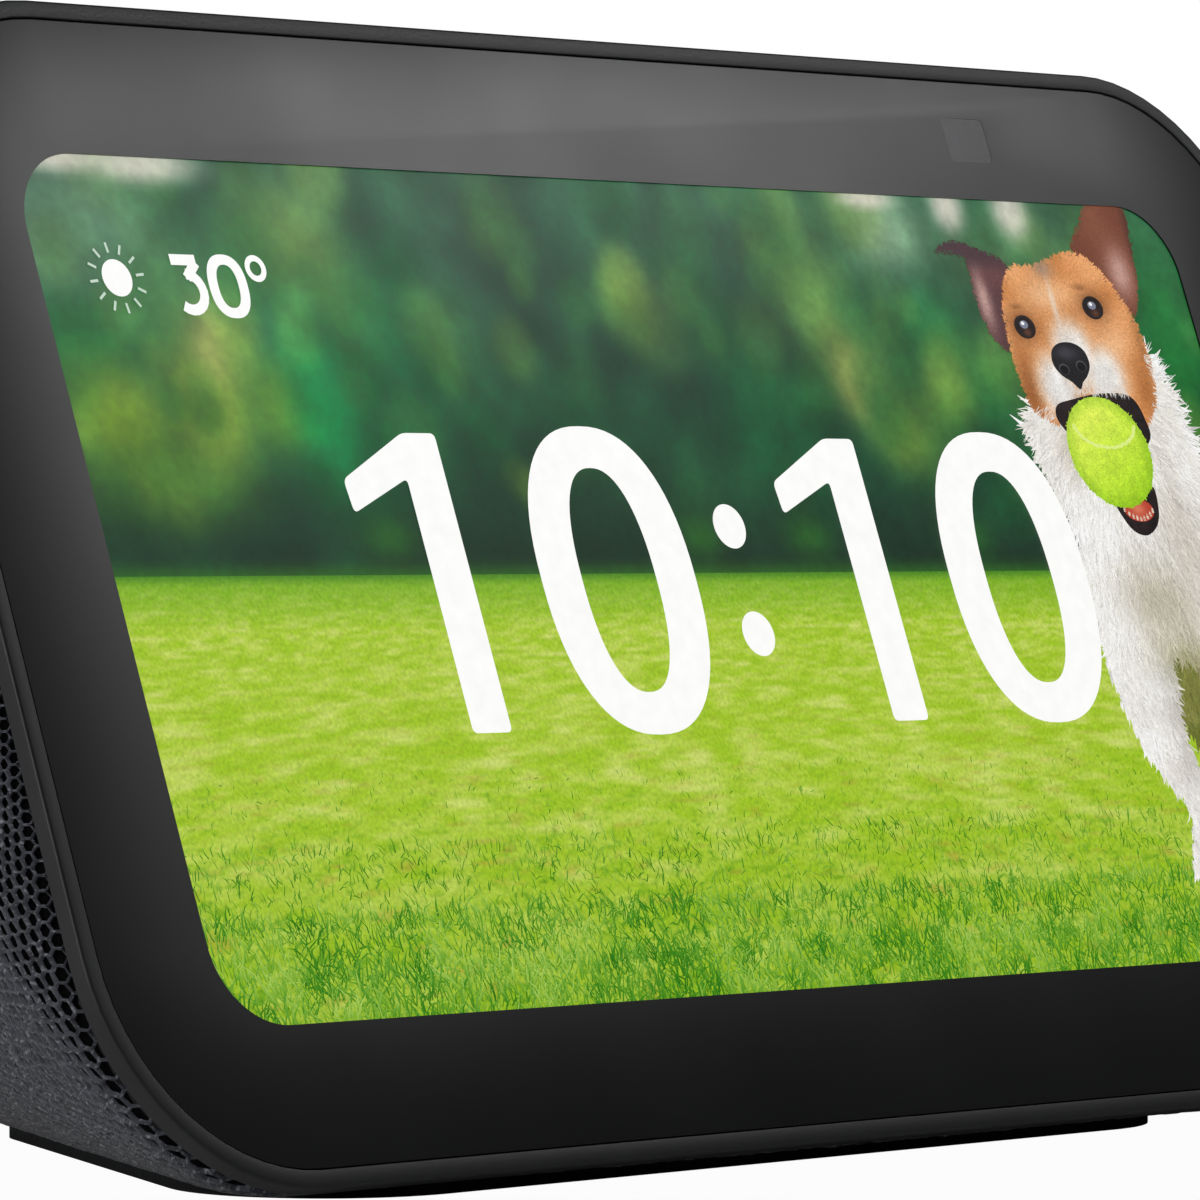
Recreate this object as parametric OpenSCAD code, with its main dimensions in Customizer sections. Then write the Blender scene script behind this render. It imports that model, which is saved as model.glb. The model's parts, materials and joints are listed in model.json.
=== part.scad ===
// Tabletop smart display: a tilted touch screen on the front of a fabric-covered wedge body.
// Millimetres. X runs across the screen, Y to the back, Z up.
// The origin is on the table, under the middle of the body.

/* [Face] */
// Width of the front face
face_w = 147; // [144:1:150]
// Height of the front face, along its slope
face_h = 84.6; // [83:0.1:86]
// Corner radius of the front face
face_r = 16.6; // [14:0.1:18]
// Lean of the front face, back from upright
tilt = 20.1; // [18:0.1:22]
// Height of the lower front edge above the table
lift = 2.3; // [2.2:0.1:2.6]

/* [Body] */
// Depth of the whole body, front to back
depth = 91; // [89:1:95]
// Wall thickness of the rear shell
shell_t = 2; // [1.8:0.1:2.2]
// Thickness of the knitted sleeve
fabric_t = 0.8; // [0.5:0.1:0.9]
// Radius of the rounded lower back
rear_r = 20; // [18:0.5:21]

/* [Screen] */
// Width of the panel behind the glass
panel_w = 127; // [124:1:128]
// Height of the panel behind the glass
panel_h = 65; // [62:0.5:66]
// Thickness of the cover glass
glass_t = 1.1; // [0.8:0.1:1.2]

/* [Controls] */
// Length of each top button
button_l = 12; // [10:0.5:13]
// Width of each top button
button_w = 4.6; // [4:0.1:5]
// Travel of each top button
button_travel = 0.35; // [0.2:0.05:0.4]
// Travel of the camera shutter
shutter_travel = 6.2; // [6:0.1:6.4]

/* [Speaker] */
// Radius of the speaker basket
speaker_r = 22.6; // [21:0.2:23]
// Upward aim of the speaker, above level
speaker_aim = 40; // [38:1:42]

/* [Inlet] */
// Radius of the power inlet's barrel
inlet_r = 2.1; // [1.8:0.1:2.6]
// Depth of the power inlet's barrel
inlet_depth = 8; // [7:0.5:8]

/* [Hidden] */
$fn = 64;
eps = 0.01;
form_fn = 40;
wire_fn = 20;

// Front stack, as depths behind the frame's front edge
rim_w = 1.3;
glass_gap = 0.1;
glass_front = 0.1;
glass_back = glass_front + glass_t;
ledge_front = 1.3;
frame_back = 1.7;
ledge_in = 4.6;
ledge_back = 3;
tongue_in = 6.3;
tongue_back = 5.8;
panel_r = 5;
panel_gap = 1;
panel_t = 1.6;
panel_back = glass_back + panel_t;
backlight_back = panel_back + 2.2;
bracket_t = 0.8;
bracket_back = tongue_back + bracket_t;
face_mid = face_h / 2;
opening_w = panel_w + 2 * panel_gap;
opening_h = panel_h + 2 * panel_gap;
opening_r = panel_r + panel_gap;
display_flex_x = [-6, 6];
touch_flex_x = [33, 37];
flex_gaps = [[-13, 13], [29, 41]];

// Camera and its shutter
camera_x = 40.1;
camera_v = face_h - 6.3;
camera_size = [7.2, 5.2];
camera_front = 3.2;
camera_back = 7;
barrel_r = 2.3;
barrel_front = 2.3;
lens_r = 1.5;
lens_depth = 0.9;
lens_ball_r = 3;
lens_ball_back = 2.2;
blade_front = 1.6;
blade_t = 0.4;
blade_w = 5.8;
blade_h = 5.2;
arm_w = 1.8;
arm_gap = 1.6;
arm_d = [6.2, 8];
arm_t = 1;
pocket_x = [34.5, 54.5];
pocket_v = [face_h - 10.1, face_h - 2.2];
knob_l = 4.4;
knob_proud = 0.9;
rib_pitch = 0.9;
rib_w = 0.3;

// Shell and sleeve
shell_in = 1.4;
sleeve_front = frame_back + 0.2;
sheet = 0.4;
belly = 0.7;
// Sections of the body: depth behind the sleeve's front edge, inset, and radius of the lower corners
body_sections = [[0, 0, face_r], [5, 0.5, 22], [12, 2.4, 30]];
ridge_r = 6;
sleeve_floor = 1.6;
shell_floor = sleeve_floor + fabric_t;
cavity_floor = shell_floor + shell_t;
rear_x = 20;
rear_y = depth / 2 - rear_r;
rear_z = sleeve_floor - 0.2 + rear_r;
back_r = 24;
back_x = 24;
back_y = 4;
back_z = 38;

// Strip for the top controls, in face coordinates
strip_w = 110;
strip_d = [1.9, 14.6];
strip_r = 3;
strip_seat = face_h - shell_in;
strip_t = 1.2;
strip_top = strip_seat + strip_t;
strip_under = strip_seat - shell_t;
button_d = 9.5;
button_x = [-24, -8, 12];
button_proud = 0.5;
button_gap = 0.2;
flange_t = 0.7;
flange_out = 0.6;
flange_top = strip_under - 0.4;
mic_x = [-44, 28];
mic_hole_r = 0.6;
mic_size = [3.6, 2.6, 1.1];
top_board_v = [face_h - 8.2, face_h - 7.2];
top_board_x = [-50, 33];
top_board_d = [7.6, 12.4];
top_board_mid = 10;
top_flex_x = [4, 10];
top_flex_d = 10.4;
top_post_x = [-36, 23];
top_post_r = 1.7;
switch_size = [4.2, 3.4];
stem_r = 1;
stem_h = 0.4;
switch_top = flange_top - flange_t - button_travel - 0.05;

// Screws
screw_r = 0.7;
screw_head_r = 1.25;
screw_head_t = 0.7;
screw_play = 0.02;
hole_play = 0.1;
screw_grip = 2.8;
side_screw_v = [24, 60];
side_screw_out = 1.15;
low_screw_x = [-45, -15, 24, 45];
high_screw_x = [-45, -15, 24];
edge_screw_out = 1.5;

// Foot and base
foot_t = 1.2;
foot_front = [36.3, -24.9, 11.5];
foot_rear = [19.5, 14.6, 8];
base_in = 0.3;
base_screw_at = [[33, -22], [15, 15]];
base_screw_r = 1.1;
base_head_r = 2.2;
base_head_t = 0.7;
base_screw_l = 6.5;
ballast_size = [56, 26, 2];
ballast_y = -9;
boss_r = 3;
boss_top = 9.5;

// Electronics, in face coordinates
standoff_r = 2.4;
board_front = 9;
board_back = 10;
board_size = [92, 46];
board_v = 41;
board_hole_at = [41, 19];
shield_t = 1.8;
pad_t = 0.4;
spreader_t = 0.6;
processor_x = -12;
processor_size = [26, 24];
pad_size = [18, 16];
spreader_size = [44, 22];
radio_at = [26, 6];
radio_size = [18, 16];
antenna_x = -55.5;
antenna_size = [9, 32, 0.6];
plug_x = [[-38, -30], [30, 38]];
plug_v = [board_v - 21, board_v - 17];
plug_t = 2.4;
flex_socket_x = [[-7, 7], [32, 38]];
flex_socket_v = [board_v - 21, board_v - 19];
flex_socket_t = 0.8;
camera_socket_x = [37, 43];
camera_socket_v = [board_v + 21.6, board_v + 23];
camera_socket_t = 0.4;
flex_t = 0.2;
camera_flex_w = 4;

// Speaker, in its own frame: Z runs out along its axis from the basket's front rim
speaker_y = 17;
speaker_z = 46;
basket_t = 1.5;
basket_window = [8, 6, 5];
basket_window_y = 12.5;
ear_r = 2.6;
ear_at = speaker_r + 1.2;
speaker_screw_l = 6;
box_depth = 19.5;
box_t = 1.5;
box_rim_t = 2.5;
box_play = 0.2;
gasket_w = 1.8;
gasket_t = 1;
surround_in = 18.6;
cone_r = 18.3;
coil_r = 6.3;
coil_t = 0.4;
coil_l = 5.6;
coil_back = -12.6;
coil_gap = 0.5;
yoke_t = 1.6;
yoke_front = -9.6;
magnet_l = 5.6;
yoke_r = 11;
yoke_back = -17.6;
leg_at = [18, 8];
leg_r = 3;
leg_h = 23;
speaker_wire_pitch = 2;
speaker_wire_r = 0.45;
grille_pitch = [3.2, 2.8];
grille_up = 2;
grille_r = 1;

// Power inlet at the lower back
niche_w = 20;
niche_h = 12;
niche_r = 4;
niche_z = 14.8;
niche_t = 1.2;
niche_floor_y = 37;
jack_size = [9.4, 9, 10];
jack_back_y = niche_floor_y - niche_t - jack_size[1];
jack_board_t = 1.2;
jack_board_size = [16, 12];
jack_post_x = 5.5;
jack_post_r = 1.6;
niche_play = 0.1;
cable_r = 1.1;
pin_r = 0.8;

// Placement helpers

module on_face() {
    translate([0, -depth / 2, lift])
        rotate([90 - tilt, 0, 0])
            children();
}

module on_speaker() {
    translate([0, speaker_y, speaker_z])
        rotate([speaker_aim - 90, 0, 0])
            children();
}

// Extrudes a face-plane outline between two depths behind the front edge
module layer(front, back) {
    translate([0, 0, -back])
        linear_extrude(back - front)
            children();
}

// A block between face-plane corners and two depths
module face_block(x, v, d) {
    translate([x[0], v[0], -d[1]])
        cube([x[1] - x[0], v[1] - v[0], d[1] - d[0]]);
}

module mirror_pair() {
    children();
    mirror([1, 0, 0])
        children();
}

module rounded_rect(w, h, r) {
    square([w - 2 * r, h], center = true);
    square([w, h - 2 * r], center = true);
    for (sx = [-1, 1], sy = [-1, 1])
        translate([sx * (w / 2 - r), sy * (h / 2 - r)])
            circle(r);
}

module face_outline(inset) {
    translate([0, face_mid])
        rounded_rect(face_w - 2 * inset, face_h - 2 * inset, face_r - inset);
}

// A pill lying along X, standing on the XY plane of the strip
module pill(l, w, h) {
    linear_extrude(h)
        rounded_rect(l, w, w / 2 - eps);
}

// Places its children on the strip: Z points up out of the strip, from height v
module on_strip(x, v, d) {
    on_face()
        translate([x, v, -d])
            rotate([-90, 0, 0])
                children();
}

// A wire through a list of points, round at its turns
module wire(points, r) {
    for (i = [0 : len(points) - 2])
        hull() {
            $fn = wire_fn;
            translate(points[i])
                sphere(r);
            translate(points[i + 1])
                sphere(r);
        }
}

// The four corners of a section of the body, the lower ones dropped a little so that the underside
// runs level
module body_corners(inset, low_r) {
    for (sx = [-1, 1]) {
        translate([sx * (face_w / 2 - face_r), face_h - face_r])
            circle(face_r - inset);
        translate([sx * (face_w / 2 - low_r), low_r - belly])
            circle(low_r - inset);
    }
}

// Body form: a wedge from the face to a rounded back, grown or shrunk by one distance
module body_form(grow, front, floor_z) {
    difference() {
        hull() {
            $fn = form_fn;
            on_face()
                for (section = body_sections)
                    layer(front + section[0], front + section[0] + sheet)
                        body_corners(shell_in + section[1] - grow, section[2]);
            mirror_pair()
                on_strip(strip_w / 2 - 1, strip_seat - ridge_r, strip_d[1])
                    sphere(ridge_r + grow);
            mirror_pair()
                translate([rear_x, rear_y, rear_z])
                    sphere(rear_r - fabric_t + grow);
            mirror_pair()
                translate([back_x, back_y, back_z])
                    sphere(back_r - fabric_t + grow);
        }
        translate([-face_w, -depth, floor_z - depth])
            cube([2 * face_w, 2 * depth, depth]);
    }
}

module foot_outline(grow) {
    hull()
        mirror_pair() {
            translate([foot_front[0], foot_front[1]])
                circle(foot_front[2] + grow);
            translate([foot_rear[0], foot_rear[1]])
                circle(foot_rear[2] + grow);
        }
}

// Front stack

module cover_glass() {
    color("#101114")
        on_face()
            layer(glass_front, glass_back)
                face_outline(rim_w + glass_gap);
}

module glass_adhesive() {
    color("#222222")
        on_face()
            layer(glass_back, ledge_front)
                difference() {
                    face_outline(rim_w + glass_gap + 0.4);
                    translate([0, face_mid])
                        rounded_rect(opening_w + 1, opening_h + 1, opening_r);
                    translate([pocket_x[0], pocket_v[0]])
                        square([pocket_x[1] - pocket_x[0], pocket_v[1] - pocket_v[0]]);
                }
}

module bracket_screw_places() {
    for (sx = [-1, 1], v = side_screw_v)
        translate([sx * (opening_w / 2 + side_screw_out), v])
            children();
    for (x = low_screw_x)
        translate([x, face_mid - opening_h / 2 - edge_screw_out])
            children();
    for (x = high_screw_x)
        translate([x, face_mid + opening_h / 2 + edge_screw_out])
            children();
}

module face_frame() {
    color("#2a2b2d")
        on_face()
            difference() {
                union() {
                    layer(0, frame_back)
                        face_outline(0);
                    layer(frame_back, ledge_back)
                        face_outline(ledge_in);
                    layer(ledge_back, tongue_back)
                        face_outline(tongue_in);
                }
                layer(-1, ledge_front)
                    face_outline(rim_w);
                layer(-1, tongue_back + 1)
                    translate([0, face_mid])
                        rounded_rect(opening_w, opening_h, opening_r);
                face_block(pocket_x, pocket_v, [ledge_front - eps, tongue_back + 1]);
                layer(tongue_back - screw_grip - 0.2, tongue_back + 1)
                    bracket_screw_places()
                        circle(screw_r);
            }
}

module lcd_panel() {
    color("#3d6b2f")
        on_face()
            layer(glass_back, panel_back)
                translate([0, face_mid])
                    rounded_rect(panel_w, panel_h, panel_r);
}

module backlight_unit() {
    color("#d8dadc")
        on_face()
            layer(panel_back, backlight_back)
                translate([0, face_mid])
                    rounded_rect(panel_w, panel_h, panel_r);
}

module display_foam() {
    color("#303030")
        on_face()
            layer(backlight_back, tongue_back)
                translate([0, face_mid])
                    difference() {
                        rounded_rect(panel_w - 2, panel_h - 2, panel_r - 1);
                        rounded_rect(panel_w - 14, panel_h - 14, panel_r - 1);
                    }
}

module standoff_places() {
    for (sx = [-1, 1], sv = [-1, 1])
        translate([sx * board_hole_at[0], board_v + sv * board_hole_at[1]])
            children();
}

module display_bracket() {
    color("#9a9da0")
        on_face()
            difference() {
                union() {
                    layer(tongue_back, bracket_back)
                        face_outline(tongue_in + 0.5);
                    layer(bracket_back - eps, board_front)
                        standoff_places()
                            circle(standoff_r);
                }
                layer(tongue_back - 1, bracket_back + 1)
                    bracket_screw_places()
                        circle(screw_r + hole_play);
                layer(tongue_back - 1, board_front + 1)
                    standoff_places()
                        circle(screw_r);
                face_block(pocket_x, [pocket_v[0], face_h], [tongue_back - 1, bracket_back + 1]);
                for (x = flex_gaps)
                    face_block(x, [0, face_mid - panel_h / 2 + 1], [tongue_back - 1, bracket_back + 1]);
            }
}

module bracket_screws() {
    color("#b9bcc0")
        on_face()
            bracket_screw_places() {
                layer(bracket_back, bracket_back + screw_head_t)
                    circle(screw_head_r);
                layer(tongue_back - screw_grip, bracket_back + eps)
                    circle(screw_r - screw_play);
            }
}

// Camera and shutter

module camera_module() {
    color("#1c1c1e")
        on_face()
            difference() {
                union() {
                    translate([camera_x, camera_v])
                        layer(camera_front, camera_back)
                            square(camera_size, center = true);
                    translate([camera_x, camera_v])
                        layer(barrel_front, camera_front + eps)
                            circle(barrel_r);
                }
                translate([camera_x, camera_v])
                    layer(barrel_front - 1, barrel_front + lens_depth)
                        circle(lens_r);
            }
}

module camera_lens() {
    color("#26305a")
        on_face()
            translate([camera_x, camera_v, -barrel_front - lens_depth])
                intersection() {
                    cylinder(r = lens_r - screw_play, h = lens_ball_r);
                    translate([0, 0, -lens_ball_back])
                        sphere(lens_ball_r);
                }
}

module camera_flex() {
    x = [camera_x - camera_flex_w / 2, camera_x + camera_flex_w / 2];
    low = camera_v - 5;
    lane = board_front - 0.6;
    color("#b5782a")
        on_face() {
            face_block(x, [low, camera_v + 1], [camera_back, camera_back + flex_t]);
            face_block(x, [low, low + flex_t], [camera_back + flex_t - eps, lane]);
            face_block(x, [board_v + 21.9, low + flex_t], [lane - eps, lane + flex_t]);
        }
}

// One moulding: shutter blade behind the glass, arm over the camera, knob on the strip
module shutter_slider() {
    blade_x = camera_x - blade_w / 2 + shutter_travel;
    arm_x = blade_x + blade_w + arm_gap;
    arm_top = strip_under - 0.4;
    knob_x = arm_x + arm_w / 2;
    knob_d = (arm_d[0] + arm_d[1]) / 2;
    color("#3a3b3e") {
        on_face() {
            face_block([blade_x, arm_x + arm_w], [camera_v - blade_h / 2, camera_v + blade_h / 2],
                       [blade_front, blade_front + blade_t]);
            face_block([arm_x, arm_x + arm_w], [arm_top - arm_t, arm_top], [blade_front, arm_d[1]]);
            face_block([arm_x, arm_x + arm_w], [arm_top - eps, strip_top + 0.15], arm_d);
        }
        on_strip(knob_x, strip_top + 0.1, knob_d)
            difference() {
                pill(knob_l, button_w - 0.8, knob_proud);
                for (i = [-1 : 1])
                    translate([i * rib_pitch - rib_w / 2, -button_w / 2, knob_proud - rib_w])
                        cube([rib_w, button_w, 1]);
            }
    }
}

// Top controls

module strip_slots(grow) {
    knob_x = camera_x + blade_w / 2 + arm_gap + arm_w / 2 + shutter_travel / 2;
    for (x = button_x)
        on_strip(x, strip_under - 1, button_d)
            pill(button_l + 2 * grow, button_w + 2 * grow, shell_t + strip_t + 2);
    on_strip(knob_x, strip_under - 1, (arm_d[0] + arm_d[1]) / 2)
        pill(shutter_travel + arm_w + 1.6, arm_d[1] - arm_d[0] + 0.6, shell_t + strip_t + 2);
    for (x = mic_x)
        on_strip(x, strip_under - 1, button_d)
            cylinder(r = mic_hole_r, h = shell_t + strip_t + 2);
}

module top_trim() {
    color("#2f3033")
        difference() {
            on_strip(0, strip_seat, (strip_d[0] + strip_d[1]) / 2)
                linear_extrude(strip_t)
                    rounded_rect(strip_w, strip_d[1] - strip_d[0], strip_r);
            strip_slots(button_gap);
        }
}

module top_button(x) {
    color("#3a3b3e")
        on_strip(x, flange_top - flange_t, button_d) {
            pill(button_l + 2 * flange_out, button_w + 2 * flange_out, flange_t);
            pill(button_l, button_w, strip_top + button_proud - flange_top + flange_t);
        }
}

module volume_down_button() {
    top_button(button_x[0]);
}

module volume_up_button() {
    top_button(button_x[1]);
}

module mic_camera_button() {
    top_button(button_x[2]);
}

module top_board() {
    color("#1e5a3a")
        on_face()
            difference() {
                face_block(top_board_x, top_board_v, top_board_d);
                for (x = top_post_x)
                    translate([x, top_board_v[0] - 1, -top_board_mid])
                        rotate([-90, 0, 0])
                            cylinder(r = screw_r, h = 3);
            }
}

module tact_switches() {
    color("#c8cacc")
        for (x = button_x)
            on_strip(x, top_board_v[1], top_board_mid)
                union() {
                    translate([-switch_size[0] / 2, -switch_size[1] / 2, 0])
                        cube([switch_size[0], switch_size[1], switch_top - top_board_v[1] - stem_h]);
                    cylinder(r = stem_r, h = switch_top - top_board_v[1]);
                }
}

module microphones() {
    color("#d0b060")
        for (x = mic_x)
            on_strip(x, top_board_v[1], button_d)
                translate([-mic_size[0] / 2, -mic_size[1] / 2, 0])
                    cube(mic_size);
}

module top_board_screws() {
    color("#b9bcc0")
        for (x = top_post_x)
            on_strip(x, top_board_v[0], top_board_mid) {
                cylinder(r = screw_r - screw_play, h = 3.4);
                translate([0, 0, -screw_head_t])
                    cylinder(r = screw_head_r, h = screw_head_t);
            }
}

module top_board_flex() {
    low = top_board_v[0] - 1.2;
    back = top_flex_d + flex_t;
    color("#b5782a")
        on_face() {
            face_block(top_flex_x, [low, top_board_v[0]], [top_flex_d, back]);
            face_block(top_flex_x, [board_v + 20, low + eps], [top_flex_d, back]);
            face_block(top_flex_x, [board_v + 18, board_v + 20 + eps], [board_back, back]);
        }
}

// Shell, sleeve and base

module base_screw_places() {
    for (sx = [-1, 1], p = base_screw_at)
        translate([sx * p[0], p[1]])
            children();
}

module niche_cut(w, h, r, y0) {
    translate([0, y0, niche_z])
        rotate([-90, 0, 0])
            linear_extrude(depth)
                rounded_rect(w, h, r);
}

module rear_shell() {
    color("#26272a")
        difference() {
            union() {
                difference() {
                    body_form(0, frame_back, shell_floor);
                    body_form(-shell_t, frame_back - 1, cavity_floor);
                }
                base_screw_places()
                    translate([0, 0, cavity_floor - eps])
                        cylinder(r = boss_r, h = boss_top - cavity_floor);
                for (x = top_post_x)
                    on_strip(x, top_board_v[1], top_board_mid)
                        cylinder(r = top_post_r, h = strip_under - top_board_v[1] + 0.5);
            }
            base_screw_places()
                translate([0, 0, shell_floor - 1])
                    cylinder(r = base_screw_r, h = boss_top - shell_floor);
            for (x = top_post_x)
                on_strip(x, top_board_v[1] - 1, top_board_mid)
                    cylinder(r = screw_r, h = 4);
            strip_slots(button_gap);
            niche_cut(niche_w + 2 * niche_play, niche_h + 2 * niche_play, niche_r + niche_play,
                      niche_floor_y - niche_t - 4);
            on_speaker()
                for (row = [-4 : 4], col = [-6 : 6])
                    translate([(col + (row % 2) / 2) * grille_pitch[0], row * grille_pitch[1] + grille_up, 0])
                        cylinder(r = grille_r, h = 30, $fn = 16);
        }
}

module fabric_sleeve() {
    color("#1d1e21")
        difference() {
            body_form(fabric_t, sleeve_front, sleeve_floor);
            body_form(0, frame_back, shell_floor);
            translate([0, 0, -1])
                linear_extrude(8)
                    foot_outline(0);
            on_strip(0, strip_seat - 1, (strip_d[0] + strip_d[1]) / 2 - 4)
                linear_extrude(8)
                    rounded_rect(strip_w + 0.4, strip_d[1] - strip_d[0] + 8.4, strip_r);
            niche_cut(niche_w + 2 * niche_play, niche_h + 2 * niche_play, niche_r + niche_play,
                      niche_floor_y - 2);
        }
}

module base_plate() {
    color("#222326")
        difference() {
            translate([0, 0, foot_t])
                linear_extrude(shell_floor - foot_t)
                    foot_outline(-base_in);
            base_screw_places() {
                cylinder(r = base_screw_r + hole_play, h = boss_top);
                cylinder(r = base_head_r + hole_play, h = foot_t + base_head_t);
            }
        }
}

module rubber_foot() {
    color("#333436")
        linear_extrude(foot_t)
            foot_outline(0);
}

module base_screws() {
    color("#b9bcc0")
        base_screw_places() {
            translate([0, 0, foot_t])
                cylinder(r = base_head_r, h = base_head_t);
            translate([0, 0, foot_t])
                cylinder(r = base_screw_r - screw_play, h = base_screw_l);
        }
}

module ballast_plate() {
    color("#8d9094")
        translate([0, ballast_y, cavity_floor])
            linear_extrude(ballast_size[2])
                rounded_rect(ballast_size[0], ballast_size[1], 3);
}

// Electronics

module main_board() {
    color("#1e5a3a")
        on_face()
            layer(board_front, board_back)
                difference() {
                    translate([0, board_v])
                        rounded_rect(board_size[0], board_size[1], 2);
                    standoff_places()
                        circle(screw_r + hole_play);
                }
}

module board_screws() {
    color("#b9bcc0")
        on_face()
            standoff_places() {
                layer(board_back, board_back + screw_head_t)
                    circle(screw_head_r);
                layer(bracket_back + 0.2, board_back + eps)
                    circle(screw_r - screw_play);
            }
}

module board_connectors() {
    color("#e6e2d6")
        on_face() {
            for (x = plug_x)
                face_block(x, plug_v, [board_back, board_back + plug_t]);
            for (x = flex_socket_x)
                face_block(x, flex_socket_v, [board_front - flex_socket_t, board_front]);
            face_block(camera_socket_x, camera_socket_v, [board_front - camera_socket_t, board_front]);
        }
}

module processor_shield() {
    color("#c8cacc")
        on_face()
            layer(board_back, board_back + shield_t)
                translate([processor_x, board_v - 2])
                    rounded_rect(processor_size[0], processor_size[1], 1);
}

module radio_shield() {
    color("#c8cacc")
        on_face()
            layer(board_back, board_back + shield_t)
                translate([radio_at[0], board_v + radio_at[1]])
                    rounded_rect(radio_size[0], radio_size[1], 1);
}

module thermal_pad() {
    color("#8aa0b8")
        on_face()
            layer(board_back + shield_t, board_back + shield_t + pad_t)
                translate([processor_x, board_v - 4])
                    square(pad_size, center = true);
}

module heat_spreader() {
    color("#a9adb1")
        on_face()
            layer(board_back + shield_t + pad_t, board_back + shield_t + pad_t + spreader_t)
                translate([processor_x, board_v - 6])
                    rounded_rect(spreader_size[0], spreader_size[1], 2);
}

module wifi_antenna() {
    color("#2b2f36")
        on_face()
            layer(bracket_back, bracket_back + antenna_size[2])
                translate([antenna_x, board_v])
                    square([antenna_size[0], antenna_size[1]], center = true);
}

// A ribbon that leaves the panel's lower edge and folds up to the board
module folded_flex(x) {
    low = face_mid - panel_h / 2 - 0.4;
    lane = board_front - flex_socket_t - flex_t;
    on_face() {
        face_block(x, [low - flex_t, low], [panel_back, lane + flex_t]);
        face_block(x, [low - flex_t, face_mid - panel_h / 2], [panel_back - flex_t, panel_back]);
        face_block(x, [low - flex_t, board_v - 19], [lane, lane + flex_t]);
    }
}

module display_flex() {
    color("#b5782a")
        folded_flex(display_flex_x);
}

module touch_flex() {
    color("#c08a3a")
        folded_flex(touch_flex_x);
}

// Speaker

module ear_outline(grow) {
    circle(speaker_r + grow);
    for (a = [45 : 90 : 315])
        rotate(a)
            translate([ear_at, 0])
                circle(ear_r + grow);
}

module ear_places() {
    for (a = [45 : 90 : 315])
        rotate(a)
            translate([ear_at + 0.6, 0])
                children();
}

module speaker_box() {
    color("#2b2c2f")
        difference() {
            union() {
                on_speaker() {
                    translate([0, 0, -basket_t - box_rim_t])
                        linear_extrude(box_rim_t)
                            ear_outline(box_play);
                    translate([0, 0, -box_depth])
                        cylinder(r = speaker_r + box_play, h = box_depth - basket_t);
                }
                mirror_pair()
                    translate([leg_at[0], leg_at[1], cavity_floor])
                        cylinder(r = leg_r, h = leg_h);
            }
            on_speaker() {
                translate([0, 0, box_t - box_depth])
                    cylinder(r = speaker_r + box_play - box_t, h = box_depth);
                translate([0, 0, -8])
                    ear_places()
                        cylinder(r = screw_r, h = 10);
            }
        }
}

module speaker_basket() {
    cone_out = surround_in + 1.6;
    color("#55585c")
        on_speaker()
            difference() {
                union() {
                    rotate_extrude()
                        polygon([
                            [yoke_r - 1, -9.6], [yoke_r + 1, -9.6], [cone_out + 0.8, -basket_t],
                            [speaker_r, -basket_t], [speaker_r, 0], [cone_out, 0],
                            [cone_out - 0.8, -basket_t], [yoke_r - 1, -8.4]
                        ]);
                    translate([0, 0, -basket_t])
                        linear_extrude(basket_t)
                            difference() {
                                ear_outline(0);
                                circle(speaker_r - 1);
                            }
                }
                ear_places()
                    translate([0, 0, -3])
                        cylinder(r = screw_r + hole_play, h = 4);
                for (a = [0 : 90 : 270])
                    rotate(a)
                        translate([-basket_window[0] / 2, basket_window_y, -8.4])
                            cube(basket_window);
            }
}

module speaker_gasket() {
    color("#141414")
        on_speaker()
            linear_extrude(gasket_t)
                difference() {
                    circle(speaker_r);
                    circle(speaker_r - gasket_w);
                }
}

module speaker_surround() {
    roll_mid = (surround_in + speaker_r - 2) / 2;
    roll_out = (speaker_r - 2 - surround_in) / 2;
    color("#101010")
        on_speaker()
            rotate_extrude()
                translate([roll_mid, 0])
                    difference() {
                        circle(roll_out);
                        circle(roll_out - 0.35);
                        translate([-5, -10])
                            square([10, 10]);
                    }
}

module speaker_cone() {
    color("#2a2a2c")
        on_speaker()
            rotate_extrude()
                polygon([
                    [0, -4.4], [3.8, -5], [coil_r - 0.3, -6.6], [coil_r - 0.3, -7], [coil_r + 0.2, -7],
                    [cone_r, -0.7], [cone_r, 0], [cone_r - 0.4, 0], [cone_r - 0.4, -0.35],
                    [coil_r + 0.3, -6.4], [coil_r, -6.2], [4, -4.5], [0, -3.9]
                ]);
}

module voice_coil() {
    color("#c07030")
        on_speaker()
            translate([0, 0, coil_back])
                difference() {
                    cylinder(r = coil_r, h = coil_l);
                    translate([0, 0, -1])
                        cylinder(r = coil_r - coil_t, h = coil_l + 2);
                }
}

module speaker_magnet() {
    color("#9a9ca0")
        on_speaker()
            translate([0, 0, yoke_back + yoke_t])
                cylinder(r = coil_r - coil_t - coil_gap, h = magnet_l);
}

module speaker_yoke() {
    color("#b0b3b6")
        on_speaker()
            translate([0, 0, yoke_back])
                difference() {
                    cylinder(r = yoke_r, h = yoke_front - yoke_back);
                    translate([0, 0, yoke_t])
                        cylinder(r = coil_r + coil_gap, h = 10);
                }
}

module speaker_screws() {
    color("#b9bcc0")
        on_speaker()
            ear_places() {
                cylinder(r = screw_head_r, h = screw_head_t);
                translate([0, 0, -speaker_screw_l])
                    cylinder(r = screw_r - screw_play, h = speaker_screw_l + eps);
            }
}

module speaker_wires() {
    color("#a02020")
        for (dx = [0, speaker_wire_pitch])
            wire([[-24 - dx, 10, 36], [-34, 4, 30 + dx], [-36 + dx, -14, 22]], speaker_wire_r);
}

// Power inlet

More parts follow.
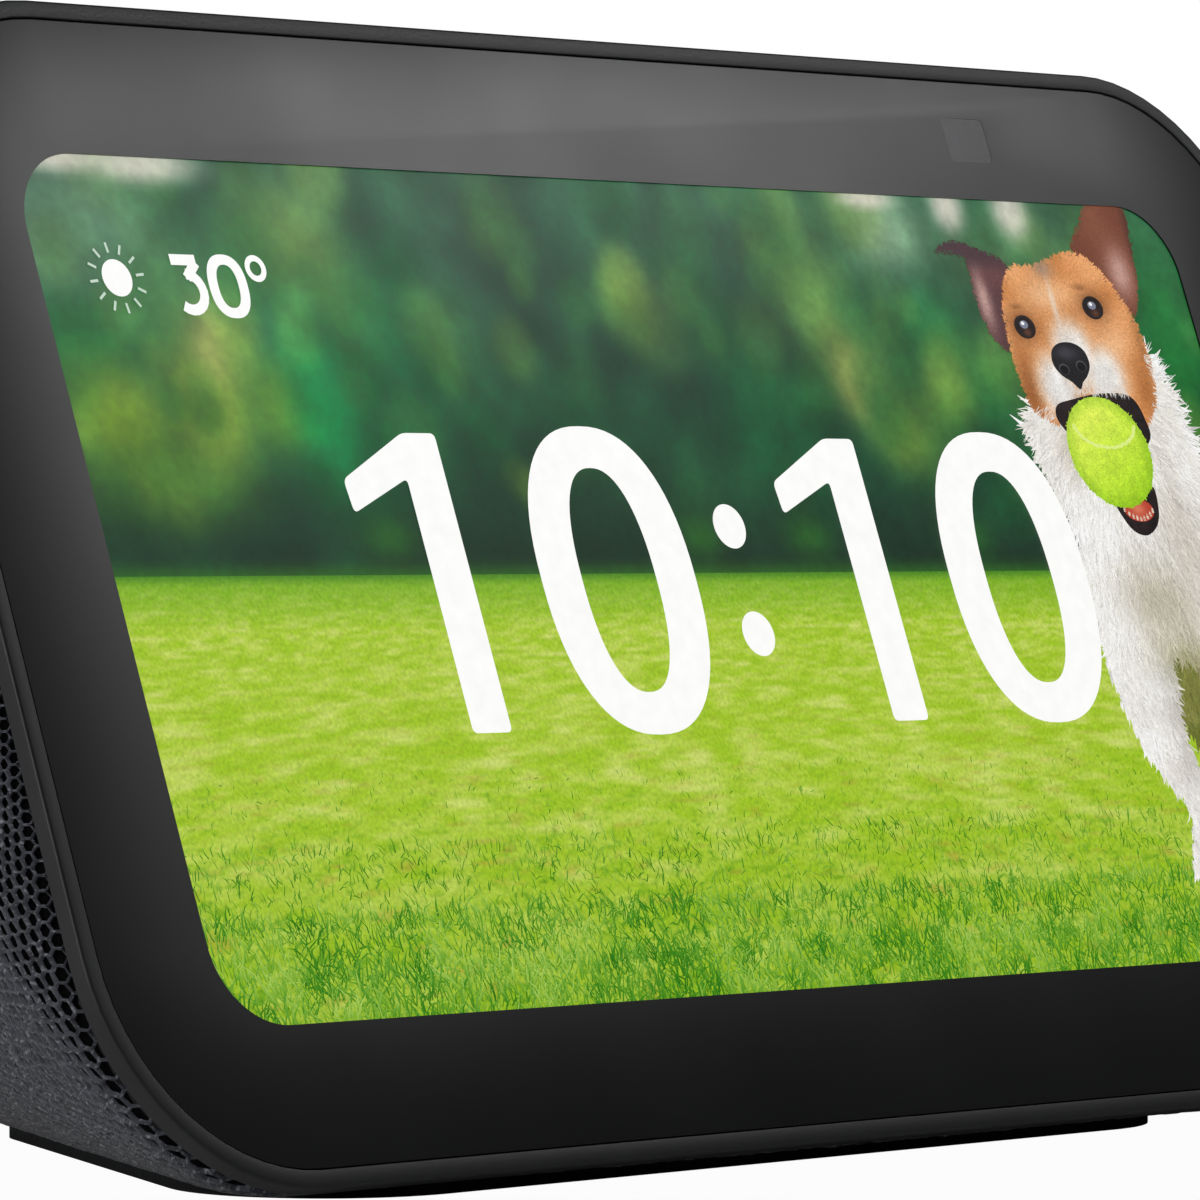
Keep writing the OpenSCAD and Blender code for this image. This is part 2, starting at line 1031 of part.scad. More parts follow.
module dc_jack() {
    color("#17181a")
        difference() {
            translate([-jack_size[0] / 2, jack_back_y, niche_z - jack_size[2] / 2])
                cube(jack_size);
            translate([0, niche_floor_y - niche_t, niche_z])
                rotate([90, 0, 0])
                    translate([0, 0, -1])
                        cylinder(r = inlet_r, h = inlet_depth + 1);
        }
}

module jack_pin() {
    color("#c9a44a")
        translate([0, niche_floor_y - niche_t - 1, niche_z])
            rotate([90, 0, 0])
                cylinder(r = pin_r, h = inlet_depth - 1);
}

module jack_board() {
    board_z = niche_z - jack_size[2] / 2 - jack_board_t;
    color("#1e5a3a")
        union() {
            translate([-jack_board_size[0] / 2, jack_back_y - 4, board_z])
                cube([jack_board_size[0], jack_board_size[1], jack_board_t]);
            for (sx = [-1, 1])
                translate([sx * jack_post_x, jack_back_y - 1.5, cavity_floor])
                    cylinder(r = jack_post_r, h = board_z - cavity_floor + eps);
        }
}

module inlet_bezel() {
    color("#2f3033")
        intersection() {
            difference() {
                niche_cut(niche_w, niche_h, niche_r, niche_floor_y - niche_t);
                niche_cut(niche_w - 2 * niche_t, niche_h - 2 * niche_t, niche_r - niche_t, niche_floor_y);
                translate([0, niche_floor_y + 1, niche_z])
                    rotate([90, 0, 0])
                        cylinder(r = inlet_r + 0.8, h = 4);
            }
            body_form(fabric_t, sleeve_front, sleeve_floor);
        }
}

module power_cable() {
    color("#202020")
        wire([[8, jack_back_y - 5.4, 10.5], [26, 19, 11], [38, -4, 13], [34, -16, 19]], cable_r);
}

cover_glass();
glass_adhesive();
face_frame();
lcd_panel();
backlight_unit();
display_foam();
display_bracket();
bracket_screws();
camera_module();
camera_lens();
camera_flex();
shutter_slider();
top_trim();
volume_down_button();
volume_up_button();
mic_camera_button();
top_board();
tact_switches();
microphones();
top_board_screws();
top_board_flex();
rear_shell();
fabric_sleeve();
base_plate();
rubber_foot();
base_screws();
ballast_plate();
main_board();
board_screws();
board_connectors();
processor_shield();
radio_shield();
thermal_pad();
heat_spreader();
wifi_antenna();
display_flex();
touch_flex();
speaker_box();
speaker_basket();
speaker_gasket();
speaker_surround();
speaker_cone();
voice_coil();
speaker_magnet();
speaker_yoke();
speaker_screws();
speaker_wires();
dc_jack();
jack_pin();
jack_board();
inlet_bezel();
power_cable();
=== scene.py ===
"""Looks of a tabletop smart display: a tilted touch screen on a wedge body in a knitted sleeve."""

import json
import math

import bmesh
import bpy
import numpy as np
from mathutils import Matrix, Vector
from mathutils.bvhtree import BVHTree


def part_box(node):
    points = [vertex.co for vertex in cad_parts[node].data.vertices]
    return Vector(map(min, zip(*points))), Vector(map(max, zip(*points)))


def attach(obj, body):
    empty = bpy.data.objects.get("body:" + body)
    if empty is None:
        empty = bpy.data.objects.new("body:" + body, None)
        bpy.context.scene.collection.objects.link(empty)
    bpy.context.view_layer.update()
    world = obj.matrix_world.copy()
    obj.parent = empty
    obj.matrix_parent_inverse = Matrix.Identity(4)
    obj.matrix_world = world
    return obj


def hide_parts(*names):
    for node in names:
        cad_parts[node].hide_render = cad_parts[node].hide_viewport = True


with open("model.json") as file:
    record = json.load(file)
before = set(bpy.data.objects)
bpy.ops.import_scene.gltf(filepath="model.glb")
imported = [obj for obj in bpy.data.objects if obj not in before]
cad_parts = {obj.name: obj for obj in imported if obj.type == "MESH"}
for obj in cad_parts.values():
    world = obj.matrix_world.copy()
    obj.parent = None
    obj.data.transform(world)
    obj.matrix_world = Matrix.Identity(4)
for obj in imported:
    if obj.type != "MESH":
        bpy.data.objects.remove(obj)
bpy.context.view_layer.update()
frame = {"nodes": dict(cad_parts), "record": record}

MM = 0.001

# Driving sizes of the body, in millimetres, as in the CAD model
FACE_W, FACE_H, FACE_R = 147.0, 84.6, 16.6
TILT = math.radians(20.1)
LIFT = 2.3
DEPTH = 91.0
RIM_W = 1.3
GLASS_GAP = 0.1
GLASS_FRONT, GLASS_BACK = 0.1, 1.2
LEDGE_FRONT, FRAME_BACK = 1.3, 1.7
LEDGE_IN, LEDGE_BACK = 4.6, 3.0
TONGUE_IN, TONGUE_BACK = 6.3, 5.8
OPENING_W, OPENING_H, OPENING_R = 129.0, 67.0, 6.0
SHELL_IN = 1.4
SLEEVE_FRONT, SLEEVE_FLOOR = 1.9, 1.6
SLEEVE_IN, UNDER_FRAME = 0.6, 1.1
STRIP_W, STRIP_FRONT, STRIP_BACK = 110.0, 1.9, 14.6
BUTTON_X = {"volume_down": -24.0, "volume_up": -8.0, "mic_camera": 12.0}
BUTTON_D = 9.5
BUTTON_TOP = 84.9
NICHE_W, NICHE_H, NICHE_Z = 20.0, 12.0, 14.8
FOOT_FRONT, FOOT_REAR = (36.3, -24.9, 11.5), (19.5, 14.6, 8.0)

# The lit screen and the camera's window, on the face
SCREEN_W, SCREEN_H, SCREEN_R = 124.3, 62.1, 5.8
WINDOW_X, WINDOW_Y = 40.1, 36.0
WINDOW_W, WINDOW_H, WINDOW_R = 4.95, 3.65, 0.5
POCKET_X, POCKET_Y = (34.5, 54.5), (32.2, 40.1)
PICTURE_BACK, PICTURE_FRONT = 0.26, 0.15

FACE_MIDDLE = Vector(
    (
        0,
        (FACE_H / 2 * math.sin(TILT) - DEPTH / 2) * MM,
        (LIFT + FACE_H / 2 * math.cos(TILT)) * MM,
    )
)
FACE = Matrix.Translation(FACE_MIDDLE) @ Matrix.Rotation(math.pi / 2 - TILT, 4, "X")
FACE_INVERSE = np.array(FACE.inverted())
rng = np.random.default_rng(7)


# ---------- colours and materials ----------


def linear(values):
    """Display values from 0 to 1, as the linear ones that shaders use."""
    v = np.clip(np.asarray(values, float), 0, 1)
    return np.where(v <= 0.04045, v / 12.92, ((v + 0.055) / 1.055) ** 2.4)


def shade(text):
    """A colour such as "a0b0c0" as three display values from 0 to 1."""
    return np.array([int(text[i : i + 2], 16) / 255 for i in (0, 2, 4)])


def rgba(text):
    return (*linear(shade(text)), 1.0)


class Look:
    """One material's node tree, with its Principled shader."""

    def __init__(self, name):
        self.material = bpy.data.materials.new(name)
        self.material.use_nodes = True
        self.nodes = self.material.node_tree.nodes
        self.links = self.material.node_tree.links
        self.shader = self.nodes["Principled BSDF"]
        self.place = self.nodes.new("ShaderNodeTexCoord").outputs["Object"]

    def join(self, a, b):
        self.links.new(a, b)

    def set(self, **sockets):
        for name, value in sockets.items():
            self.shader.inputs[name.replace("_", " ")].default_value = value

    def noise(self, size, detail=3.0, stretch=(1, 1, 1), kind="ShaderNodeTexNoise"):
        """A noise pattern whose features are about `size` millimetres across."""
        mapping = self.nodes.new("ShaderNodeMapping")
        mapping.inputs["Scale"].default_value = [1 / s for s in stretch]
        self.join(self.place, mapping.inputs["Vector"])
        pattern = self.nodes.new(kind)
        pattern.inputs["Scale"].default_value = 1 / (size * MM)
        if kind == "ShaderNodeTexNoise":
            pattern.inputs["Detail"].default_value = detail
        self.join(mapping.outputs["Vector"], pattern.inputs["Vector"])
        return pattern.outputs[0]

    def ramp(self, value, low, high, start=0.3, end=0.7):
        """Turns a pattern into numbers between low and high."""
        node = self.nodes.new("ShaderNodeMapRange")
        node.inputs["From Min"].default_value = start
        node.inputs["From Max"].default_value = end
        node.inputs["To Min"].default_value = low
        node.inputs["To Max"].default_value = high
        self.join(value, node.inputs["Value"])
        return node.outputs["Result"]

    def mix(self, value, a, b, kind="MIX"):
        """Colour a where the value is 0 and b where it is 1."""
        node = self.nodes.new("ShaderNodeMix")
        node.data_type = "RGBA"
        node.blend_type = kind
        if isinstance(value, float):
            node.inputs[0].default_value = value
        else:
            self.join(value, node.inputs[0])
        for socket, colour in ((node.inputs[6], a), (node.inputs[7], b)):
            if isinstance(colour, str):
                socket.default_value = rgba(colour)
            else:
                self.join(colour, socket)
        return node.outputs[2]

    def bump(self, height, depth, strength=1.0):
        """Relief of `depth` millimetres."""
        node = self.nodes.new("ShaderNodeBump")
        node.inputs["Distance"].default_value = depth * MM
        node.inputs["Strength"].default_value = strength
        self.join(height, node.inputs["Height"])
        self.join(node.outputs["Normal"], self.shader.inputs["Normal"])


def moulded(name, dark, light, rough, grain=0.25, depth=0.012, specular=0.5, mottle=6.0):
    """Moulded plastic, rubber or board: fine grain over a slow change of tone."""
    look = Look(name)
    fine = look.noise(grain, 4.0)
    slow = look.noise(mottle, 2.0)
    look.join(look.mix(look.ramp(slow, 0, 1), dark, light), look.shader.inputs["Base Color"])
    look.join(look.ramp(fine, rough - 0.05, rough + 0.06), look.shader.inputs["Roughness"])
    look.bump(fine, depth)
    look.set(Specular_IOR_Level=specular)
    return look.material


def metal(name, dark, light, rough, stretch=(12, 1, 1)):
    """Rolled or turned metal, with fine lines along one way."""
    look = Look(name)
    lines = look.noise(0.12, 3.0, stretch)
    look.join(look.mix(look.ramp(lines, 0, 1), dark, light), look.shader.inputs["Base Color"])
    look.join(look.ramp(lines, rough - 0.08, rough + 0.1), look.shader.inputs["Roughness"])
    look.bump(lines, 0.006)
    look.set(Metallic=1.0)
    return look.material


def glass_mask():
    """Satin cover glass, printed black on its back, with the faint texture of an anti-glare coat."""
    look = Look("cover_glass")
    fine = look.noise(0.05, 2.0)
    slow = look.noise(18.0, 2.0)
    look.join(look.mix(look.ramp(slow, 0, 1), "0b0b0c", "101011"), look.shader.inputs["Base Color"])
    look.join(look.ramp(slow, 0.31, 0.35), look.shader.inputs["Roughness"])
    look.bump(fine, 0.0004)
    look.set(Specular_IOR_Level=0.5, IOR=1.5)
    return look.material


def clear_window():
    """The clear pane over the camera: smoked glass that lets the lens show through, with a light grey base colour that
    is painted reflection, so the pane looks lighter than the black print round it.
    """
    look = Look("camera_pane")
    fine = look.noise(0.6, 2.0)
    # Painted reflection: a light grey base colour in place of the room that the pane would mirror.
    look.join(look.mix(look.ramp(fine, 0, 1), "6a6a6e", "76767a"), look.shader.inputs["Base Color"])
    look.join(look.ramp(fine, 0.31, 0.35), look.shader.inputs["Roughness"])
    look.set(Alpha=0.8, Specular_IOR_Level=0.55)
    return look.material


def lit(name, grain, spread):
    """A part of the picture on the screen: it glows with its own painted tones, under clear glass."""
    look = Look(name)
    tone = look.nodes.new("ShaderNodeAttribute")
    tone.attribute_name = "tone"
    fine = look.ramp(look.noise(grain, 3.0), 0, 1)
    grained = look.mix(fine, "%02x%02x%02x" % ((int(255 * (1 - spread)),) * 3), "ffffff")
    glowing = look.mix(1.0, tone.outputs["Color"], grained, "MULTIPLY")
    look.join(glowing, look.shader.inputs["Emission Color"])
    look.join(look.ramp(fine, 0.32, 0.36, 0, 1), look.shader.inputs["Roughness"])
    look.set(Base_Color=rgba("060606"), Emission_Strength=1.0, Specular_IOR_Level=0.12)
    return look.material


def yarn():
    """Knitted polyester: twisted strands with a soft sheen, and painted glints: spots of light grey laid into the base
    colour as highlights.
    """
    look = Look("knit_yarn")
    fibres = look.noise(0.09, 3.0, (1, 1, 4))
    patches = look.noise(0.9, 2.0)
    # Painted glints: noise spots that lighten the yarn's base colour to light grey, as highlights.
    painted_glints = look.ramp(look.noise(0.35, 4.0), 0, 1, 0.56, 0.72)
    tone = look.mix(look.ramp(patches, 0, 1), "2c2d33", "555861")
    tone = look.mix(painted_glints, tone, "a4a7b0")
    look.join(tone, look.shader.inputs["Base Color"])
    look.join(look.ramp(fibres, 0.55, 0.8), look.shader.inputs["Roughness"])
    look.bump(fibres, 0.05)
    look.set(Sheen_Weight=0.25, Sheen_Roughness=0.5, Specular_IOR_Level=0.35)
    return look.material


LOOKS = {
    "cover_glass": glass_mask(),
    "black_plastic": moulded("black_plastic", "232325", "2a2a2c", 0.44, 0.18, 0.006),
    "button_plastic": moulded("button_plastic", "242527", "2b2c2e", 0.46, 0.16, 0.006),
    "inner_plastic": moulded("inner_plastic", "17181a", "1f2022", 0.55, 0.3),
    "foot_rubber": moulded("foot_rubber", "1d1e20", "28292b", 0.72, 0.4, 0.02, 0.3),
    "foam": moulded("foam", "1a1a1b", "2a2a2b", 0.95, 0.5, 0.12, 0.1),
    "screen_panel": moulded("screen_panel", "0a0d0b", "121713", 0.12, 0.3, 0.002),
    "diffuser": moulded("diffuser", "d4d7da", "e4e6e8", 0.6, 0.5),
    "steel": metal("steel", "8d9093", "b4b7ba", 0.32),
    "screw_steel": metal("screw_steel", "5d5f63", "8a8d91", 0.36, (1, 1, 1)),
    "aluminium": metal("aluminium", "a3a6a9", "c3c6c9", 0.36, (1, 16, 1)),
    "magnet": moulded("magnet", "3b3d40", "4a4c50", 0.5, 0.3),
    "circuit_board": moulded("circuit_board", "0f3b26", "1c5638", 0.4, 0.5, 0.02, 0.5, 2.5),
    "connector": moulded("connector", "1a1a1b", "262627", 0.5, 0.25),
    "flex_film": moulded("flex_film", "8a5a20", "b47c33", 0.35, 0.6, 0.01, 0.5, 3.0),
    "thermal_silicone": moulded("thermal_silicone", "7b8fa5", "93a6ba", 0.75, 0.4, 0.03, 0.2),
    "lens_glass": moulded("lens_glass", "120d22", "281a3c", 0.06, 1.5, 0.0, 0.9, 1.2),
    "speaker_paper": moulded("speaker_paper", "191a1b", "282829", 0.9, 0.35, 0.04, 0.2),
    "speaker_rubber": moulded("speaker_rubber", "151516", "1e1e1f", 0.6, 0.4),
    "copper": metal("copper", "a85e34", "d08650", 0.32, (1, 1, 14)),
    "brass": metal("brass", "b08d3c", "d9b85f", 0.3),
    "wire_sleeve": moulded("wire_sleeve", "1a1a1b", "232324", 0.5, 0.5),
}


# ---------- building pieces ----------


def add_piece(name, verts, faces, look, at=None, smooth=40, body="housing"):
    """Makes one mesh object from points in millimetres. at is the frame its points are in."""
    mesh = bpy.data.meshes.new(name)
    mesh.from_pydata((np.asarray(verts, float) * MM).tolist(), [], [list(f) for f in faces])
    mesh.validate()
    mesh.materials.append(look)
    obj = bpy.data.objects.new(name, mesh)
    bpy.context.scene.collection.objects.link(obj)
    if at is not None:
        obj.matrix_world = at
    mesh.shade_smooth()
    if smooth:
        mesh.set_sharp_from_angle(angle=math.radians(smooth))
    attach(obj, body)
    return obj


def cut_box(obj, x, y, z):
    """Cuts a box, given as pairs of millimetres in the object's own frame, out of a piece."""
    cutter_mesh = bpy.data.meshes.new("cutter")
    corners = [(a * MM, b * MM, c * MM) for a in x for b in y for c in z]
    sides = [(0, 1, 3, 2), (4, 6, 7, 5), (0, 4, 5, 1), (2, 3, 7, 6), (0, 2, 6, 4), (1, 5, 7, 3)]
    cutter_mesh.from_pydata(corners, [], sides)
    cut_with(obj, cutter_mesh)


def cut_with(obj, cutter_mesh):
    """Takes a closed mesh, in the object's own frame, away from a piece."""
    bm = bmesh.new()
    bm.from_mesh(cutter_mesh)
    bmesh.ops.recalc_face_normals(bm, faces=bm.faces)
    bm.to_mesh(cutter_mesh)
    bm.free()
    cutter = bpy.data.objects.new("cutter", cutter_mesh)
    bpy.context.scene.collection.objects.link(cutter)
    cutter.matrix_world = obj.matrix_world
    boolean = obj.modifiers.new("cut", "BOOLEAN")
    boolean.operation, boolean.solver, boolean.object = "DIFFERENCE", "EXACT", cutter
    bpy.context.view_layer.update()
    result = bpy.data.meshes.new_from_object(obj.evaluated_get(bpy.context.evaluated_depsgraph_get()))
    obj.modifiers.clear()
    obj.data = result
    bpy.data.objects.remove(cutter)


def rounded_ring(w, h, r, z, steps=14):
    """Points round a rounded rectangle about the origin, at height z."""
    points = []
    for k, (sx, sy) in enumerate(((1, 1), (-1, 1), (-1, -1), (1, -1))):
        for i in range(steps + 1):
            a = math.pi / 2 * (k + i / steps)
            points.append((sx * (w / 2 - r) + r * math.cos(a), sy * (h / 2 - r) + r * math.sin(a), z))
    return points


def face_ring(inset, depth, steps=14):
    """The face's outline, drawn in by `inset` at a depth behind the frame's front edge."""
    return rounded_ring(FACE_W - 2 * inset, FACE_H - 2 * inset, FACE_R - inset, -depth, steps)


def bridge(rings, closed=False):
    """Quads between rings of the same number of points."""
    n = len(rings[0])
    faces = []
    for a in range(len(rings) if closed else len(rings) - 1):
        b = (a + 1) % len(rings)
        for i in range(n):
            j = (i + 1) % n
            faces.append((a * n + i, a * n + j, b * n + j, b * n + i))
    return [p for ring in rings for p in ring], faces


def capped(rings):
    """Quads between rings, with a flat face on the first and the last."""
    verts, faces = bridge(rings)
    n = len(rings[0])
    faces.append(tuple(reversed(range(n))))
    faces.append(tuple(range(len(verts) - n, len(verts))))
    return verts, faces


def fillet(start, end, corner, steps=4):
    """Points of a quarter round from start to end, bulging towards the corner."""
    out = []
    for i in range(steps + 1):
        a = math.pi / 2 * i / steps
        s, c = math.sin(a), math.cos(a)
        out.append(
            tuple(
                corner[k] + (start[k] - corner[k]) * (1 - s) + (end[k] - corner[k]) * (1 - c)
                for k in (0, 1)
            )
        )
    return out


# ---------- front: frame, glass and camera window ----------


def face_frame():
    """The moulded frame: rounded outer edge, flat rim, recess for the glass, and the tongue behind."""
    edge, lip, rear_edge = 0.22, 0.07, 0.3
    profile = [(rear_edge, FRAME_BACK), (0.0, FRAME_BACK - rear_edge)]
    profile += fillet((0.0, edge), (edge, 0.0), (0.0, 0.0))
    profile += fillet((RIM_W - lip, 0.0), (RIM_W, lip), (RIM_W, 0.0))
    profile += [(RIM_W, LEDGE_FRONT)]
    rings = [face_ring(inset, depth) for inset, depth in profile]
    for depth in (LEDGE_FRONT, TONGUE_BACK):
        rings.append(rounded_ring(OPENING_W, OPENING_H, OPENING_R, -depth))
    for inset, depth in (
        (TONGUE_IN, TONGUE_BACK),
        (TONGUE_IN, LEDGE_BACK),
        (LEDGE_IN, LEDGE_BACK),
        (LEDGE_IN, FRAME_BACK),
    ):
        rings.append(face_ring(inset, depth))
    verts, faces = bridge(rings, closed=True)
    frame_piece = add_piece("bezel_frame", verts, faces, LOOKS["black_plastic"], FACE, 35)
    cut_box(frame_piece, POCKET_X, POCKET_Y, (-TONGUE_BACK - 1, -LEDGE_FRONT + 0.01))
    frame_piece.data.set_sharp_from_angle(angle=math.radians(35))
    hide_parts("face_frame")


def cover_glass():
    """The glass with its black print: one plate round the lit screen, with a clear camera window."""
    inset = RIM_W + GLASS_GAP
    soft = 0.06
    profile = [(inset, GLASS_BACK)]
    profile += fillet((inset, GLASS_FRONT + soft), (inset + soft, GLASS_FRONT), (inset, GLASS_FRONT))
    rings = [face_ring(i, depth) for i, depth in profile]
    for depth in (GLASS_FRONT, GLASS_BACK):
        rings.append(rounded_ring(SCREEN_W, SCREEN_H, SCREEN_R, -depth))
    verts, faces = bridge(rings, closed=True)
    glass = add_piece("bezel_glass", verts, faces, LOOKS["cover_glass"], FACE, 35)
    cutter = bpy.data.meshes.new("cutter")
    around = [
        [(x + WINDOW_X, y + WINDOW_Y, z) for x, y, z in rounded_ring(WINDOW_W, WINDOW_H, WINDOW_R, d, 6)]
        for d in (-3, 3)
    ]
    cutter_verts, cutter_faces = capped(around)
    cutter.from_pydata((np.array(cutter_verts) * MM).tolist(), [], cutter_faces)
    cut_with(glass, cutter)
    glass.data.set_sharp_from_angle(angle=math.radians(35))
    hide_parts("cover_glass")

    gap = 0.02
    pane_rings = [
        [
            (x + WINDOW_X, y + WINDOW_Y, z)
            for x, y, z in rounded_ring(WINDOW_W - gap, WINDOW_H - gap, WINDOW_R, -depth, 6)
        ]
        for depth in (GLASS_BACK, GLASS_FRONT + 0.02)
    ]
    verts, faces = capped(pane_rings)
    pane = add_piece("camera_window", verts, faces, clear_window(), FACE, 35)


face_frame()
cover_glass()


# ---------- the picture on the screen ----------


def smooth_closed(points, per=6):
    """A closed curve through a few points."""
    p = np.array(points, float)
    t = np.arange(per)[:, None] / per
    out = []
    for i in range(len(p)):
        a, b, c, d = p[i - 1], p[i], p[(i + 1) % len(p)], p[(i + 2) % len(p)]
        out.append(
            b
            + 0.5 * t * (c - a)
            + t**2 * (a - 2.5 * b + 2 * c - 0.5 * d)
            + t**3 * (1.5 * b - 0.5 * a - 1.5 * c + 0.5 * d)
        )
    return np.concatenate(out)


def inside(outline, points):
    """Which points lie inside a closed outline."""
    x, y = points[:, :1], points[:, 1:2]
    a, b = outline, np.roll(outline, -1, axis=0)
    spans = (a[:, 1] > y) != (b[:, 1] > y)
    rise = np.where(np.abs(b[:, 1] - a[:, 1]) < 1e-9, 1e-9, b[:, 1] - a[:, 1])
    cross = a[:, 0] + (y - a[:, 1]) * (b[:, 0] - a[:, 0]) / rise
    return ((spans & (x < cross)).sum(axis=1) % 2) == 1


def soft_noise(x, y, size, seed, squeeze=1.0):
    """Smooth random values from 0 to 1, with patches about `size` across."""
    lattice = np.random.default_rng(seed).random((128, 128))
    gx, gy = x / size, y / (size * squeeze)
    ix, iy = np.floor(gx).astype(int), np.floor(gy).astype(int)
    fx, fy = gx - ix, gy - iy
    fx, fy = fx * fx * (3 - 2 * fx), fy * fy * (3 - 2 * fy)
    a, b = lattice[ix % 128, iy % 128], lattice[(ix + 1) % 128, iy % 128]
    c, d = lattice[ix % 128, (iy + 1) % 128], lattice[(ix + 1) % 128, (iy + 1) % 128]
    return (a * (1 - fx) + b * fx) * (1 - fy) + (c * (1 - fx) + d * fx) * fy


def blend(a, b, t):
    """Tones between a and b, where t is 0 to 1."""
    t = np.clip(t, 0, 1)[..., None]
    return a * (1 - t) + b * t


def clump(x, y, cx, cy, rx, ry, power=1.0):
    """1 in the middle of a soft oval patch, fading to 0 outside it."""
    return np.exp(-((((x - cx) / rx) ** 2 + ((y - cy) / ry) ** 2) ** power))


class Painting:
    """Flat shapes with a tone at each point, laid over each other on the screen."""

    STEP = 0.0004

    def __init__(self, depth):
        self.verts, self.faces, self.tones = [], [], []
        self.count, self.z = 0, -depth

    def add(self, points, faces, tones, lift=None):
        points = np.asarray(points, float)
        self.z += self.STEP
        z = np.full((len(points), 1), self.z) if lift is None else lift
        self.verts.append(np.hstack([points, z]))
        self.faces.append(np.asarray(faces) + self.count)
        self.tones.append(np.broadcast_to(np.asarray(tones, float), (len(points), 3)))
        self.count += len(points)

    def sheet(self, x0, x1, y0, y1, cell, tone):
        """A grid of points, with tone(x, y) at each."""
        nx, ny = int(round((x1 - x0) / cell)) + 1, int(round((y1 - y0) / cell)) + 1
        x, y = np.meshgrid(np.linspace(x0, x1, nx), np.linspace(y0, y1, ny))
        i, j = np.meshgrid(np.arange(nx - 1), np.arange(ny - 1))
        a = (j * nx + i).ravel()
        x, y = x.ravel(), y.ravel()
        self.add(np.c_[x, y], np.c_[a, a + 1, a + nx + 1, a + nx], tone(x, y))

    def fan(self, outline, tone, centre=None):
        """A filled outline that its centre can see all of, in rings so that tones can change inside."""
        outline = np.asarray(outline, float)
        n, rings = len(outline), 7
        centre = outline.mean(axis=0) if centre is None else np.asarray(centre, float)
        shares = np.linspace(1, 0.002, rings)[:, None, None]
        points = (centre + (outline - centre) * shares).reshape(-1, 2)
        k, i = np.meshgrid(np.arange(rings - 1), np.arange(n), indexing="ij")
        k, i = k.ravel(), i.ravel()
        j = (i + 1) % n
        faces = np.c_[k * n + i, k * n + j, (k + 1) * n + j, (k + 1) * n + i]
        self.add(points, faces, tone(points[:, 0], points[:, 1]))

    def fill(self, outline, tone, cell=0.3):
        """Covers the inside of an outline with small squares."""
        low, high = outline.min(axis=0), outline.max(axis=0)
        nx, ny = (np.ceil((high - low) / cell)).astype(int) + 1
        x, y = np.meshgrid(low[0] + cell * np.arange(nx), low[1] + cell * np.arange(ny))
        points = np.c_[x.ravel(), y.ravel()]
        held = inside(outline, points)
        i, j = np.meshgrid(np.arange(nx - 1), np.arange(ny - 1))
        a = (j * nx + i).ravel()
        faces = np.c_[a, a + 1, a + nx + 1, a + nx]
        faces = faces[held[faces].all(axis=1)]
        self.add(points, faces, tone(points[:, 0], points[:, 1]))

    def strokes(self, root, angle, length, width, tones, tip_tones=None, bend=0.0):
        """Many tapering strokes: hairs or blades, each two quads long, each a hair's breadth above the last."""
        n = len(root)
        if not n:
            return
        angle, length, width = (np.broadcast_to(v, (n,)).astype(float) for v in (angle, length, width))
        bend = np.broadcast_to(bend, (n,))
        tip_tones = tones if tip_tones is None else tip_tones
        sections = []
        for share, breadth in ((0.0, 0.8), (0.5, 1.0), (1.0, 0.12)):
            a = angle + bend * share
            along = np.c_[np.cos(a), np.sin(a)]
            across = np.c_[-along[:, 1], along[:, 0]]
            middle = root + along * (length * share)[:, None]
            for side in (-0.5, 0.5):
                sections.append(middle + across * (side * width * breadth)[:, None])
        points = np.stack(sections, axis=1).reshape(-1, 2)
        base = np.arange(n)[:, None] * 6
        faces = np.concatenate([base + [0, 2, 3, 1], base + [2, 4, 5, 3]])
        mid_tones = (tones + tip_tones) / 2
        shades = np.stack([tones, tones, mid_tones, mid_tones, tip_tones, tip_tones], axis=1)
        gap = 1e-6
        lift = self.z + gap * np.repeat(np.arange(n), 6)[:, None]
        self.z += gap * n
        self.add(points, faces, shades.reshape(-1, 3), lift)

    def piece(self, name, look):
        verts, faces = np.concatenate(self.verts), np.concatenate(self.faces)
        obj = add_piece(name, verts, faces, look, FACE, 0)
        tone = obj.data.color_attributes.new("tone", "FLOAT_COLOR", "POINT")
        colours = np.c_[linear(np.concatenate(self.tones)), np.ones(len(verts))]
        tone.data.foreach_set("color", colours.astype(np.float32).ravel())
        return obj


HORIZON = 0.5
HALF_W, HALF_H = SCREEN_W / 2 + 0.4, SCREEN_H / 2 + 0.4


